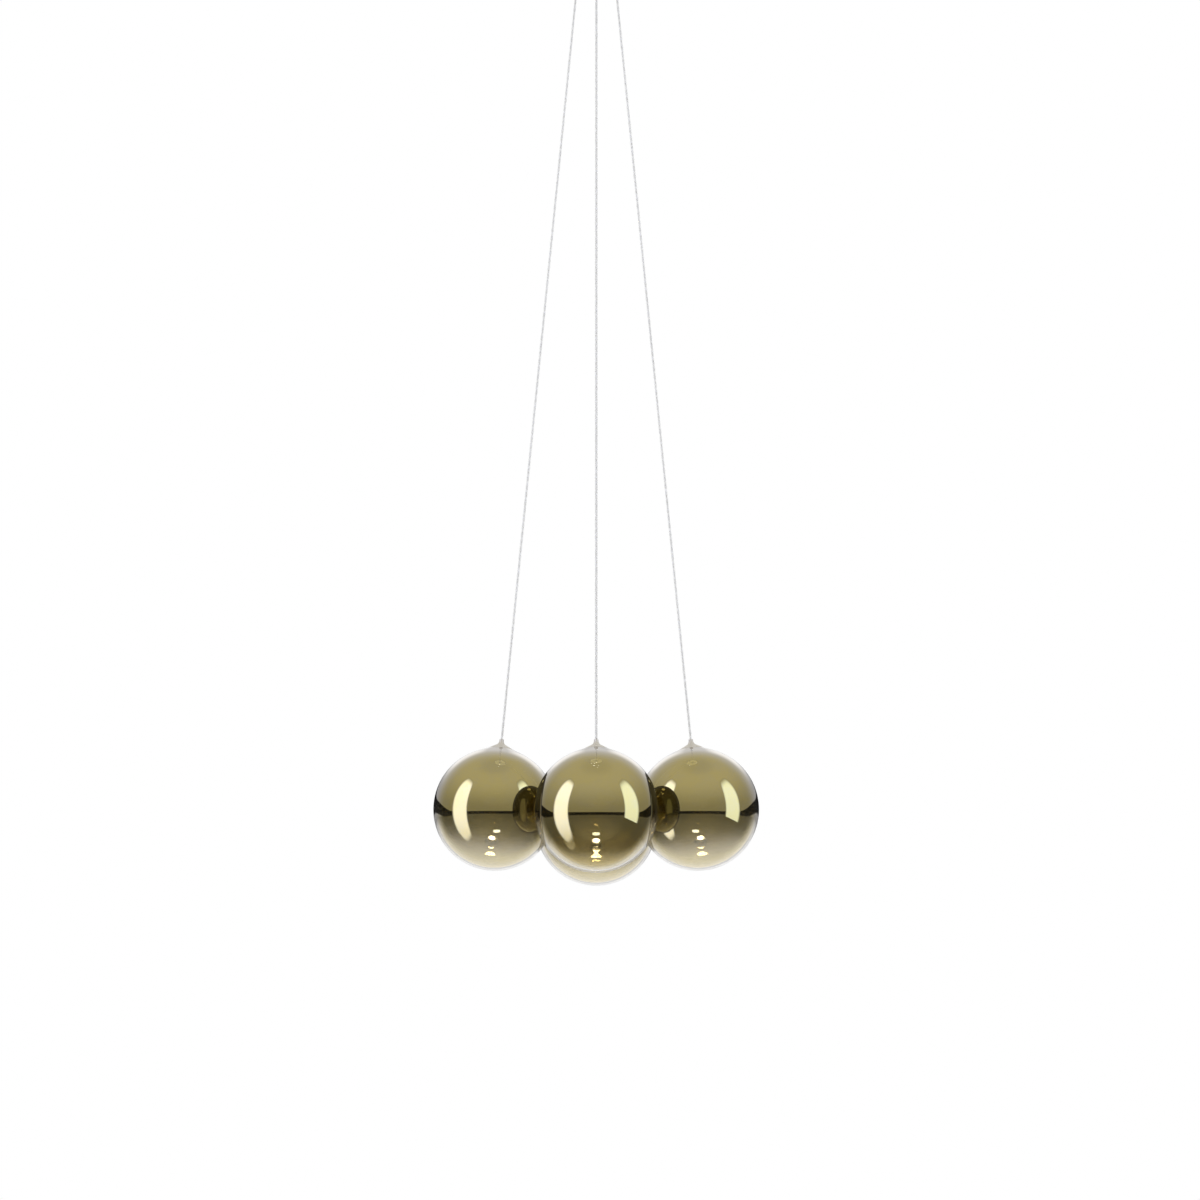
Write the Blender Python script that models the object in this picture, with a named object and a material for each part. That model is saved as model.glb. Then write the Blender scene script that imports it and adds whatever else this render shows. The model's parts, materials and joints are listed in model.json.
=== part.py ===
"""Cluster pendant lamp: four metallised glass globes that hang from one ceiling canopy and rest together.

Metres, +Z up. The origin is the middle of the strap's top face, where the lamp meets the ceiling.
"""
import bpy
import bmesh
from math import atan2, cos, hypot, pi, radians, sin, sqrt, tan
from mathutils import Matrix, Vector

# Globe and the way the four hang
GLOBE_DIAMETER = 0.150
GLOBE_WALL = 0.0022
SHOULDER_ANGLE = radians(24.5)      # from the globe's axis, where the round glass runs out into a cone
NECK_HOLE = 0.020
SIDE_DROP = 1.0795                  # cable exit down to the middle of the left and right globes
FRONT_EXTRA_DROP = 0.0106           # the front and back globes hang this much lower
FRONT_BACK_GAP = 0.0183             # free space between the front and back globes
EXIT_RADIUS = 0.022                 # circle of the four cable exits under the canopy
SWING = radians(30)                 # how far a globe is swung out, for the grip's bell mouth

# Cap and seal on each globe
CAP_OVERLAP = 0.0035                # cap rim past the edge of the neck hole
CAP_RIM = 0.0005                    # least thickness of the cap above its seal
CAP_HEIGHT = 0.0085                 # tip above the rim
CAP_TIP_WALL = 0.0007
SPIGOT_DEPTH = 0.0022
NECK_PLAY = 0.0006                  # spigot and light unit in the neck hole, all round
STEM_SOCKET = 0.0035
GASKET_THICKNESS = 0.0005
CABLE_DIAMETER = 0.0032
CABLE_SEAT = 0.004
WIRE_HOLE = 0.0016

# Light unit inside each globe
STEM_DIAMETER = 0.006
STEM_WALL = 0.0012
TOGGLE_BEARING = 0.005              # toggle bar past the edge of the neck hole
TOGGLE_SIDE = 0.0012                # toggle bar beside its hole
TOGGLE_THICKNESS = 0.002
NUT_WALL = 0.0022
NUT_HEIGHT = 0.003
SINK_HEIGHT = 0.007
SINK_SOCKET = 0.005
FIN_COUNT = 2
FIN_DEPTH = 0.0028
FIN_SHARE = 0.5                     # fin thickness as a share of the fin pitch
BOARD_THICKNESS = 0.0012
CHIP_DIAMETER = 0.006
CHIP_HEIGHT = 0.0008
LENS_DIAMETER = 0.012
LENS_FLANGE = 0.0016
LENS_DOME = 0.0035

# Canopy and what it holds
CANOPY_DIAMETER = 0.250
CANOPY_HEIGHT = 0.045
CANOPY_WALL = 0.0015
CANOPY_FLOOR = 0.002
CANOPY_FILLET = 0.005
CEILING_GAP = 0.0005                # canopy rim below the ceiling
STRAP_WIDTH = 0.024
STRAP_THICKNESS = 0.0025
EAR_DROP = 0.013
EAR_PLAY = 0.0009                   # strap's ears inside the canopy's wall
SLOT_LENGTH = 0.008
SLOT_WIDTH = 0.005
SLOT_CLEAR = 0.0025                 # ceiling slot past the driver's tab
DRIVER_LENGTH = 0.044
DRIVER_WIDTH = 0.028
DRIVER_HEIGHT = 0.015
DRIVER_TAB = 0.008
DRIVER_TAB_THICKNESS = 0.002
DRIVER_EDGE = 0.0012
BLOCK_LENGTH = 0.012
BLOCK_WIDTH = 0.009
BLOCK_HEIGHT = 0.010
BLOCK_POLES = 3
NOTCH_WIDTH = 0.001
NOTCH_DEPTH = 0.002
GRIP_DIAMETER = 0.016
GRIP_NOSE = 0.008
GRIP_SHANK = 0.010
BELL_DEPTH = 0.004
BELL_MARGIN = radians(9)            # bell mouth past the widest swing
GRIP_NUT_WALL = 0.002
GRIP_NUT_HEIGHT = 0.004
SIDE_SCREW = 0.004
SIDE_SCREW_REACH = 0.004            # side screw past the ear
TAB_SCREW = 0.003
SCREW_HEAD_WALL = 0.0015
SCREW_HEAD_HEIGHT = 0.0018
CORNER_BREAK = 0.0006

# Clearances and fineness
TOUCH = 0.0003                      # between pieces that touch
THROAT_PLAY = 0.0006                # cable in the grip's throat
WELD = 1e-6
SMOOTH_UNDER = radians(40)
GLOBE_SIDES = 24
GLOBE_STEPS = 13
TURNED_SIDES = 14
SMALL_SIDES = 12
CANOPY_SIDES = 48
CABLE_POINTS = 12
CAP_STEPS = 7
LENS_STEPS = 4
FILLET_STEPS = 4
SLOT_END_STEPS = 6

GLOBE_R = GLOBE_DIAMETER / 2
INNER_R = GLOBE_R - GLOBE_WALL
NECK_R = NECK_HOLE / 2
STEM_R = STEM_DIAMETER / 2
CABLE_R = CABLE_DIAMETER / 2
CANOPY_R = CANOPY_DIAMETER / 2

for old in list(bpy.data.objects):
    bpy.data.objects.remove(old, do_unlink=True)


def finish(name, colour, metallic, roughness, alpha=1.0):
    """One plain Principled material."""
    material = bpy.data.materials.new(name)
    material.use_nodes = True
    shader = material.node_tree.nodes["Principled BSDF"]
    shader.inputs["Base Color"].default_value = (*colour, 1.0)
    shader.inputs["Metallic"].default_value = metallic
    shader.inputs["Roughness"].default_value = roughness
    shader.inputs["Alpha"].default_value = alpha
    return material


def mesh_from(bm, name):
    """Close a bmesh into a mesh with its faces pointing out."""
    bmesh.ops.remove_doubles(bm, verts=bm.verts, dist=WELD)
    bmesh.ops.recalc_face_normals(bm, faces=bm.faces)
    mesh = bpy.data.meshes.new(name)
    bm.to_mesh(mesh)
    bm.free()
    mesh.shade_smooth()
    mesh.set_sharp_from_angle(angle=SMOOTH_UNDER)
    return mesh


def turn(bm, profile, sides, closed):
    """Spin a profile of (radius, height) points about Z; a closed one joins its last point to its first."""
    points = [bm.verts.new((radius, 0.0, height)) for radius, height in profile]
    pairs = list(zip(points, points[1:]))
    if closed:
        pairs.append((points[-1], points[0]))
    edges = [bm.edges.new(pair) for pair in pairs]
    bmesh.ops.spin(bm, geom=points + edges, cent=(0, 0, 0), axis=(0, 0, 1), angle=2 * pi, steps=sides,
                   use_merge=True)


def turned(name, profile, sides, closed=False):
    """A turned piece: open profiles start and end on the axis, closed ones run round a bore."""
    bm = bmesh.new()
    turn(bm, profile, sides, closed)
    return mesh_from(bm, name)


def circle(radius, sides):
    """Points of a circle, with a flat side across X for a hexagon."""
    angles = [2 * pi * (step + 0.5) / sides for step in range(sides)]
    return [(radius * cos(angle), radius * sin(angle)) for angle in angles]


def add_plate(bm, outline, holes, low, high):
    """A flat plate between two heights, with its holes cut through."""
    edges = []
    for loop in [outline, *holes]:
        ring = [bm.verts.new((x, y, low)) for x, y in loop]
        edges += [bm.edges.new((ring[index - 1], ring[index])) for index in range(len(ring))]
    sheet = bmesh.ops.triangle_fill(bm, use_beauty=True, edges=edges, normal=(0, 0, 1))
    faces = [item for item in sheet["geom"] if isinstance(item, bmesh.types.BMFace)]
    raised = bmesh.ops.extrude_face_region(bm, geom=faces, use_keep_orig=True)
    moved = [item for item in raised["geom"] if isinstance(item, bmesh.types.BMVert)]
    bmesh.ops.translate(bm, verts=moved, vec=(0, 0, high - low))


def plate(name, outline, holes, low, high):
    bm = bmesh.new()
    add_plate(bm, outline, holes, low, high)
    return mesh_from(bm, name)


def bar(name, outline, width):
    """An outline in X and Z, drawn out along Y to a width about the middle."""
    bm = bmesh.new()
    add_plate(bm, outline, [], -width / 2, width / 2)
    bmesh.ops.transform(bm, matrix=Matrix.Rotation(pi / 2, 4, "X"), verts=bm.verts)
    return mesh_from(bm, name)


def put(name, mesh, material, parent=None, location=(0, 0, 0), rotation=(0, 0, 0)):
    """Place one named piece."""
    piece = bpy.data.objects.new(name, mesh)
    bpy.context.collection.objects.link(piece)
    if not mesh.materials:
        mesh.materials.append(material)
    piece.parent = parent
    piece.location = location
    piece.rotation_euler = rotation
    return piece


def cut(piece, cutter_mesh):
    """Cut a piece with a cutter that stands in its own frame."""
    cutter = bpy.data.objects.new("cut_" + piece.name, cutter_mesh)
    bpy.context.collection.objects.link(cutter)
    cutter.hide_render = True
    cutter.display_type = "WIRE"
    modifier = piece.modifiers.new("holes", "BOOLEAN")
    modifier.operation = "DIFFERENCE"
    modifier.object = cutter


def add_rod(bm, start, end, radius, sides):
    """A round rod between two points, to cut a hole with."""
    start, end = Vector(start), Vector(end)
    way = end - start
    place = Matrix.Translation((start + end) / 2) @ way.to_track_quat("Z", "Y").to_matrix().to_4x4()
    bmesh.ops.create_cone(bm, cap_ends=True, segments=sides, radius1=radius, radius2=radius, depth=way.length,
                          matrix=place)


GOLD_GLASS = finish("metallised glass", (0.42, 0.36, 0.13), 0.9, 0.06, 0.75)
CAP_METAL = finish("satin silver cap", (0.62, 0.58, 0.54), 0.9, 0.3)
SEAL_RUBBER = finish("clear silicone seal", (0.55, 0.53, 0.5), 0.0, 0.5)
PLAIN_STEEL = finish("zinc plated steel", (0.55, 0.56, 0.57), 1.0, 0.35)
BRASS = finish("turned brass", (0.7, 0.52, 0.25), 1.0, 0.3)
SINK_METAL = finish("turned aluminium", (0.75, 0.75, 0.76), 1.0, 0.32)
BOARD_WHITE = finish("white light board", (0.85, 0.84, 0.8), 0.0, 0.4)
LENS_CLEAR = finish("frosted lens", (0.95, 0.92, 0.85), 0.0, 0.2)
CABLE_CLEAR = finish("clear sheathed cable", (0.72, 0.72, 0.71), 0.3, 0.3)
CANOPY_PAINT = finish("white lacquer", (0.86, 0.86, 0.85), 0.0, 0.35)
DRIVER_PLASTIC = finish("white driver case", (0.8, 0.8, 0.78), 0.0, 0.5)
BLOCK_PLASTIC = finish("terminal plastic", (0.82, 0.81, 0.76), 0.0, 0.45)
GRIP_CHROME = finish("bright nickel grip", (0.78, 0.78, 0.78), 1.0, 0.15)

# Globe: round glass that runs out into a short cone, with the neck hole ground through it
APEX = GLOBE_R / cos(SHOULDER_ANGLE)
INNER_APEX = INNER_R / cos(SHOULDER_ANGLE)
SLOPE = tan(SHOULDER_ANGLE)


def glass_arc(radius):
    """From the bottom of the globe up to the shoulder."""
    steps = [pi + (SHOULDER_ANGLE - pi) * step / GLOBE_STEPS for step in range(GLOBE_STEPS + 1)]
    return [(radius * sin(polar), radius * cos(polar)) for polar in steps]


def cone_height(apex, radius):
    return apex - SLOPE * radius


neck_top = cone_height(APEX, NECK_R)
neck_bottom = cone_height(INNER_APEX, NECK_R)
globe_profile = glass_arc(GLOBE_R) + [(NECK_R, neck_top), (NECK_R, neck_bottom)] + glass_arc(INNER_R)[::-1]
globe_profile[0] = (0.0, -GLOBE_R)
globe_profile[-1] = (0.0, -INNER_R)
GLOBE_MESH = turned("globe", globe_profile, GLOBE_SIDES)

# Gasket: a thin cone ring on the glass round the neck hole
CAP_RIM_R = NECK_R + CAP_OVERLAP
LIFT = 1 / cos(SHOULDER_ANGLE)
gasket_low = APEX + TOUCH * LIFT
gasket_high = gasket_low + GASKET_THICKNESS * LIFT
gasket_in = NECK_R + TOUCH
gasket_out = CAP_RIM_R - TOUCH
GASKET_MESH = turned("gasket", [
    (gasket_in, cone_height(gasket_low, gasket_in)),
    (gasket_out, cone_height(gasket_low, gasket_out)),
    (gasket_out, cone_height(gasket_high, gasket_out)),
    (gasket_in, cone_height(gasket_high, gasket_in)),
], TURNED_SIDES, closed=True)

# Cap: a turned trumpet with a spigot in the neck hole, a socket for the stem and a seat for the cable
TIP_BORE = CABLE_R + TOUCH
TIP_R = TIP_BORE + CAP_TIP_WALL
cap_apex = gasket_high + TOUCH * LIFT
rim_low = cone_height(cap_apex, CAP_RIM_R)
rim_top = rim_low + CAP_RIM
tip_top = rim_top + CAP_HEIGHT
spigot_r = NECK_R - NECK_PLAY
spigot_low = neck_top - SPIGOT_DEPTH
socket_r = STEM_R + TOUCH
socket_top = spigot_low + STEM_SOCKET
seat_low = tip_top - CABLE_SEAT
tip_rise = tip_top - cone_height(cap_apex, TIP_R) - CAP_RIM
trumpet = []
for step in range(CAP_STEPS + 1):
    share = step / CAP_STEPS
    radius = TIP_R + (CAP_RIM_R - TIP_R) * (1 - share) ** 2
    trumpet.append((radius, cone_height(cap_apex, radius) + CAP_RIM + tip_rise * share ** 2))
CAP_MESH = turned("cap", [
    (TIP_BORE, tip_top),
    (TIP_BORE, seat_low),
    (WIRE_HOLE / 2, seat_low),
    (WIRE_HOLE / 2, socket_top),
    (socket_r, socket_top),
    (socket_r, spigot_low),
    (spigot_r, spigot_low),
    (spigot_r, cone_height(cap_apex, spigot_r)),
    (CAP_RIM_R, rim_low),
    *trumpet,
], TURNED_SIDES, closed=True)

# Toggle bar: bears on the glass from inside, across the neck hole
toggle_half = NECK_R + TOGGLE_BEARING
toggle_side = STEM_R + TOUCH + TOGGLE_SIDE
toggle_corner = hypot(toggle_half, toggle_side)
toggle_top = cone_height(INNER_APEX, toggle_corner) - TOUCH * LIFT
toggle_low = toggle_top - TOGGLE_THICKNESS
TOGGLE_MESH = plate("toggle", [
    (-toggle_half, -toggle_side),
    (toggle_half, -toggle_side),
    (toggle_half, toggle_side),
    (-toggle_half, toggle_side),
], [circle(STEM_R + TOUCH, SMALL_SIDES)], toggle_low, toggle_top)

# Lock nut: pulls the toggle bar up against the glass
nut_top = toggle_low - TOUCH
nut_low = nut_top - NUT_HEIGHT
nut_corner = (STEM_R + TOUCH + NUT_WALL) / cos(pi / 6)
NUT_MESH = plate("lock_nut", circle(nut_corner, 6), [circle(STEM_R + TOUCH, SMALL_SIDES)], nut_low, nut_top)

# Heat sink: turned aluminium with ring fins, small enough to pass the neck hole
sink_top = nut_low - TOUCH
sink_low = sink_top - SINK_HEIGHT
sink_r = NECK_R - NECK_PLAY
core_r = sink_r - FIN_DEPTH
fin_pitch = SINK_HEIGHT / (FIN_COUNT + FIN_SHARE)
sink_profile = [(0.0, sink_top - SINK_SOCKET), (socket_r, sink_top - SINK_SOCKET), (socket_r, sink_top)]
for fin in range(FIN_COUNT):
    fin_top = sink_top - fin * fin_pitch
    fin_low = fin_top - FIN_SHARE * fin_pitch
    sink_profile += [(sink_r, fin_top), (sink_r, fin_low), (core_r, fin_low), (core_r, fin_top - fin_pitch)]
last_fin = sink_top - FIN_COUNT * fin_pitch
sink_profile += [(sink_r, last_fin), (sink_r, sink_low), (0.0, sink_low)]
SINK_MESH = turned("heat_sink", sink_profile, SMALL_SIDES)

# Stem: a threaded tube from the cap to the heat sink, with the wires inside
stem_top = socket_top - TOUCH
stem_low = sink_top - SINK_SOCKET + TOUCH
STEM_MESH = turned("stem", [
    (STEM_R - STEM_WALL, stem_top),
    (STEM_R - STEM_WALL, stem_low),
    (STEM_R, stem_low),
    (STEM_R, stem_top),
], SMALL_SIDES, closed=True)

# Light board with its round chip, and the domed lens over it
board_top = sink_low - TOUCH
board_low = board_top - BOARD_THICKNESS
chip_r = CHIP_DIAMETER / 2
chip_low = board_low - CHIP_HEIGHT
BOARD_MESH = turned("led_board", [
    (0.0, board_top),
    (sink_r, board_top),
    (sink_r, board_low),
    (chip_r, board_low),
    (chip_r, chip_low),
    (0.0, chip_low),
], SMALL_SIDES)
lens_top = board_low - TOUCH
flange_low = lens_top - LENS_FLANGE
lens_recess = chip_low - TOUCH
lens_r = LENS_DIAMETER / 2
dome = []
for step in range(LENS_STEPS + 1):
    turn_angle = pi / 2 * step / LENS_STEPS
    dome.append((lens_r * cos(turn_angle), flange_low - LENS_DOME * sin(turn_angle)))
dome[-1] = (0.0, flange_low - LENS_DOME)
LENS_MESH = turned("lens", [
    (0.0, lens_recess),
    (chip_r + TOUCH, lens_recess),
    (chip_r + TOUCH, lens_top),
    (lens_r, lens_top),
    *dome,
], SMALL_SIDES)

# Where the grips, the cable exits and the globes stand
canopy_low = -CEILING_GAP - CANOPY_HEIGHT
nose_top = canopy_low - TOUCH
nose_low = nose_top - GRIP_NOSE
exit_height = nose_low + BELL_DEPTH
front_reach = (GLOBE_DIAMETER + FRONT_BACK_GAP) / 2
side_reach = sqrt((GLOBE_DIAMETER + TOUCH) ** 2 - front_reach ** 2 - FRONT_EXTRA_DROP ** 2)
LAMPS = {
    "left": (pi, side_reach, SIDE_DROP),
    "right": (0.0, side_reach, SIDE_DROP),
    "front": (-pi / 2, front_reach, SIDE_DROP + FRONT_EXTRA_DROP),
    "back": (pi / 2, front_reach, SIDE_DROP + FRONT_EXTRA_DROP),
}
GLOBE_PIECES = {
    "globe": (GLOBE_MESH, GOLD_GLASS),
    "gasket": (GASKET_MESH, SEAL_RUBBER),
    "cap": (CAP_MESH, CAP_METAL),
    "toggle": (TOGGLE_MESH, PLAIN_STEEL),
    "lock_nut": (NUT_MESH, BRASS),
    "stem": (STEM_MESH, PLAIN_STEEL),
    "heat_sink": (SINK_MESH, SINK_METAL),
    "led_board": (BOARD_MESH, BOARD_WHITE),
    "lens": (LENS_MESH, LENS_CLEAR),
}


def lean(reach, drop):
    """Angle between a cable and the plumb line."""
    return atan2(reach - EXIT_RADIUS, drop)


def cable(name, low):
    """A straight cable from its seat in the cap up to the exit, in the swing's own frame."""
    curve = bpy.data.curves.new(name, "CURVE")
    curve.dimensions = "3D"
    curve.bevel_depth = CABLE_R
    curve.bevel_resolution = 2
    curve.use_fill_caps = True
    spline = curve.splines.new("POLY")
    spline.points.add(CABLE_POINTS - 1)
    for index, point in enumerate(spline.points):
        point.co = (0.0, 0.0, low * (1 - index / (CABLE_POINTS - 1)), 1.0)
    return curve


for lamp, (bearing, reach, drop) in LAMPS.items():
    hang = hypot(reach - EXIT_RADIUS, drop)
    swing = bpy.data.objects.new(lamp + "_swing", None)
    bpy.context.collection.objects.link(swing)
    swing.location = (EXIT_RADIUS * cos(bearing), EXIT_RADIUS * sin(bearing), exit_height)
    swing.rotation_euler = (0.0, -lean(reach, drop), bearing)
    for piece_name, (piece_mesh, piece_material) in GLOBE_PIECES.items():
        put(lamp + "_" + piece_name, piece_mesh, piece_material, swing, (0.0, 0.0, -hang))
    put(lamp + "_cable", cable(lamp + "_cable", seat_low + TOUCH - hang), CABLE_CLEAR, swing)

# Canopy: a spun cup, open to the ceiling, with holes for the grips and the side screws
inner_r = CANOPY_R - CANOPY_WALL
inner_fillet = CANOPY_FILLET - CANOPY_WALL


def fillet(outer, low, radius):
    """Quarter round between a floor and an upright wall, floor first."""
    steps = [pi / 2 * step / FILLET_STEPS for step in range(FILLET_STEPS + 1)]
    return [(outer - radius + radius * sin(angle), low + radius - radius * cos(angle)) for angle in steps]


floor_top = canopy_low + CANOPY_FLOOR
canopy_mesh = turned("canopy_cup", [
    (0.0, canopy_low),
    *fillet(CANOPY_R, canopy_low, CANOPY_FILLET),
    (CANOPY_R, -CEILING_GAP),
    (inner_r, -CEILING_GAP),
    *fillet(inner_r, floor_top, inner_fillet)[::-1],
    (0.0, floor_top),
], CANOPY_SIDES)
canopy_cup = put("canopy_cup", canopy_mesh, CANOPY_PAINT)
shank_r = GRIP_SHANK / 2
side_screw_r = SIDE_SCREW / 2
strap_half = sqrt(inner_r ** 2 - (STRAP_WIDTH / 2) ** 2) - EAR_PLAY
ear_in = strap_half - STRAP_THICKNESS
screw_height = -EAR_DROP / 2 - STRAP_THICKNESS / 2
exits = [(EXIT_RADIUS * cos(bearing), EXIT_RADIUS * sin(bearing)) for bearing, reach, drop in LAMPS.values()]
canopy_holes = bmesh.new()
for x, y in exits:
    add_rod(canopy_holes, (x, y, canopy_low - CANOPY_FLOOR), (x, y, floor_top + CANOPY_FLOOR),
            shank_r + TOUCH, SMALL_SIDES)
for side in (-1, 1):
    add_rod(canopy_holes, (side * ear_in, 0, screw_height),
            (side * (CANOPY_R + CANOPY_WALL), 0, screw_height), side_screw_r + TOUCH, SMALL_SIDES)
cut(canopy_cup, mesh_from(canopy_holes, "canopy_holes"))

# Ceiling strap: a bent steel bar that is screwed to the ceiling and carries the canopy and the driver
strap_low = -STRAP_THICKNESS
ear_low = -EAR_DROP
strap_mesh = bar("ceiling_strap", [
    (-strap_half, 0.0),
    (strap_half, 0.0),
    (strap_half, ear_low),
    (ear_in, ear_low),
    (ear_in, strap_low),
    (-ear_in, strap_low),
    (-ear_in, ear_low),
    (-strap_half, ear_low),
], STRAP_WIDTH)
ceiling_strap = put("ceiling_strap", strap_mesh, PLAIN_STEEL)
tab_half = DRIVER_LENGTH / 2 + DRIVER_TAB
tab_screw_at = DRIVER_LENGTH / 2 + DRIVER_TAB / 2
tab_screw_r = TAB_SCREW / 2
slot_mid = tab_half + SLOT_CLEAR + SLOT_LENGTH / 2


def slot_outline(middle):
    """A slot along X with round ends."""
    radius = SLOT_WIDTH / 2
    straight = SLOT_LENGTH / 2 - radius
    points = []
    for side, start in ((1, -pi / 2), (-1, pi / 2)):
        for step in range(SLOT_END_STEPS + 1):
            angle = start + pi * step / SLOT_END_STEPS
            points.append((middle + side * straight + radius * cos(angle), radius * sin(angle)))
    return points


strap_holes = bmesh.new()
for side in (-1, 1):
    add_plate(strap_holes, slot_outline(side * slot_mid), [], strap_low - STRAP_THICKNESS, STRAP_THICKNESS)
    add_rod(strap_holes, (side * tab_screw_at, 0, strap_low - STRAP_THICKNESS),
            (side * tab_screw_at, 0, STRAP_THICKNESS), tab_screw_r + TOUCH, SMALL_SIDES)
    add_rod(strap_holes, (side * (ear_in - STRAP_THICKNESS), 0, screw_height),
            (side * (strap_half + STRAP_THICKNESS), 0, screw_height), side_screw_r + TOUCH, SMALL_SIDES)
cut(ceiling_strap, mesh_from(strap_holes, "strap_holes"))

# Driver: a small power supply hung under the strap by its two end tabs
driver_top = strap_low - TOUCH
tab_low = driver_top - DRIVER_TAB_THICKNESS
driver_low = driver_top - DRIVER_HEIGHT
driver_half = DRIVER_LENGTH / 2
driver_mesh = bar("driver", [
    (-tab_half, driver_top),
    (tab_half, driver_top),
    (tab_half, tab_low),
    (driver_half, tab_low),
    (driver_half, driver_low + DRIVER_EDGE),
    (driver_half - DRIVER_EDGE, driver_low),
    (DRIVER_EDGE - driver_half, driver_low),
    (-driver_half, driver_low + DRIVER_EDGE),
    (-driver_half, tab_low),
    (-tab_half, tab_low),
], DRIVER_WIDTH)
driver = put("driver", driver_mesh, DRIVER_PLASTIC)
driver_holes = bmesh.new()
for side in (-1, 1):
    add_rod(driver_holes, (side * tab_screw_at, 0, tab_low - DRIVER_TAB_THICKNESS),
            (side * tab_screw_at, 0, driver_top + DRIVER_TAB_THICKNESS), tab_screw_r + TOUCH, SMALL_SIDES)
cut(driver, mesh_from(driver_holes, "driver_holes"))

# Terminal block on the canopy floor, one notch between poles
block_low = floor_top + TOUCH
block_top = block_low + BLOCK_HEIGHT
pole = BLOCK_LENGTH / BLOCK_POLES
block_outline = [(-BLOCK_LENGTH / 2, block_low), (BLOCK_LENGTH / 2, block_low), (BLOCK_LENGTH / 2, block_top)]
for index in range(BLOCK_POLES - 1, 0, -1):
    middle = index * pole - BLOCK_LENGTH / 2
    block_outline += [
        (middle + NOTCH_WIDTH / 2, block_top),
        (middle + NOTCH_WIDTH / 2, block_top - NOTCH_DEPTH),
        (middle - NOTCH_WIDTH / 2, block_top - NOTCH_DEPTH),
        (middle - NOTCH_WIDTH / 2, block_top),
    ]
block_outline.append((-BLOCK_LENGTH / 2, block_top))
put("terminal_block", bar("terminal_block", block_outline, BLOCK_WIDTH), BLOCK_PLASTIC)

# Cable grips: turned nipples with a bell mouth wide enough for the swing, and their nuts inside the canopy
throat_r = CABLE_R + THROAT_PLAY
lean_most = max(lean(reach, drop) for bearing, reach, drop in LAMPS.values())
bell_r = throat_r + BELL_DEPTH * tan(SWING + lean_most + BELL_MARGIN)
grip_r = max(GRIP_DIAMETER / 2, bell_r + CORNER_BREAK + TOUCH)
grip_nut_low = floor_top + TOUCH
grip_nut_top = grip_nut_low + GRIP_NUT_HEIGHT
grip_top = grip_nut_top + CORNER_BREAK
GRIP_MESH = turned("cable_grip", [
    (throat_r, grip_top),
    (throat_r, exit_height),
    (bell_r, nose_low),
    (grip_r - CORNER_BREAK, nose_low),
    (grip_r, nose_low + CORNER_BREAK),
    (grip_r, nose_top),
    (shank_r, nose_top),
    (shank_r, grip_top),
], TURNED_SIDES, closed=True)
grip_nut_corner = (shank_r + TOUCH + GRIP_NUT_WALL) / cos(pi / 6)
GRIP_NUT_MESH = plate("grip_nut", circle(grip_nut_corner, 6), [circle(shank_r + TOUCH, SMALL_SIDES)],
                      grip_nut_low, grip_nut_top)
for lamp, (x, y) in zip(LAMPS, exits):
    put(lamp + "_cable_grip", GRIP_MESH, GRIP_CHROME, None, (x, y, 0.0))
    put(lamp + "_grip_nut", GRIP_NUT_MESH, BRASS, None, (x, y, 0.0))


def screw(name, radius, length):
    """A pan-head screw: its head ends at the origin and its shank runs up Z."""
    head_r = radius + SCREW_HEAD_WALL
    return turned(name, [
        (0.0, length),
        (radius, length),
        (radius, 0.0),
        (head_r, 0.0),
        (head_r, -SCREW_HEAD_HEIGHT / 2),
        (head_r - SCREW_HEAD_HEIGHT / 2, -SCREW_HEAD_HEIGHT),
        (0.0, -SCREW_HEAD_HEIGHT),
    ], SMALL_SIDES)


# Screws: two through the canopy's wall into the strap's ears, two that hold the driver's tabs
side_seat = CANOPY_R + TOUCH
side_screw_mesh = screw("canopy_screw", side_screw_r, side_seat - ear_in + SIDE_SCREW_REACH)
tab_screw_mesh = screw("driver_screw", tab_screw_r, -tab_low - CEILING_GAP)
for hand, side in (("left", -1), ("right", 1)):
    put(hand + "_canopy_screw", side_screw_mesh, PLAIN_STEEL, None, (side * side_seat, 0.0, screw_height),
        (0.0, -side * pi / 2, 0.0))
    put(hand + "_driver_screw", tab_screw_mesh, PLAIN_STEEL, None,
        (side * tab_screw_at, 0.0, tab_low - TOUCH))
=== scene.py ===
import json
from math import cos, pi, radians, sin, tan

import bmesh
import bpy
from mathutils import Matrix, Vector
from mathutils.geometry import interpolate_bezier


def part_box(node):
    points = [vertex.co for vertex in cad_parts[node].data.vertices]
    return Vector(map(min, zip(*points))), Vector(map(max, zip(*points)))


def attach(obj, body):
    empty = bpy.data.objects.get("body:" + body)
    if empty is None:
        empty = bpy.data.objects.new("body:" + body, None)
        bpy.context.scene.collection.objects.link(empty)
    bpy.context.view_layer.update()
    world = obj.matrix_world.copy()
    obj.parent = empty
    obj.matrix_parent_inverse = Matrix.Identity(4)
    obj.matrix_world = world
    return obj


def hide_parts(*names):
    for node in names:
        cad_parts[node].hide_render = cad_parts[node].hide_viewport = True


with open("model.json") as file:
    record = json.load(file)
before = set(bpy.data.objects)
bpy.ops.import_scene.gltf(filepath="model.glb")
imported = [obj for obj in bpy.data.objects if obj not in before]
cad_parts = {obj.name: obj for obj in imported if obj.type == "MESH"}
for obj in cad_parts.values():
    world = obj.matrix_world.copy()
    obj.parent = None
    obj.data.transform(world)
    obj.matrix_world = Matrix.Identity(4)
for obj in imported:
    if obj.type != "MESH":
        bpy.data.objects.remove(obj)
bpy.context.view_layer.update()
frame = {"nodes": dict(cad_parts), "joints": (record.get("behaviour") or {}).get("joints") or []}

# Camera: a long lens, well back and a little below the globes. It is tipped up, so that the cables run out of
# the top of the picture and the globes hang below its middle.
CAMERA_BACK = 4.4725
CAMERA_HEIGHT = -1.6262
CAMERA_TIP = radians(9.60)
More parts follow.
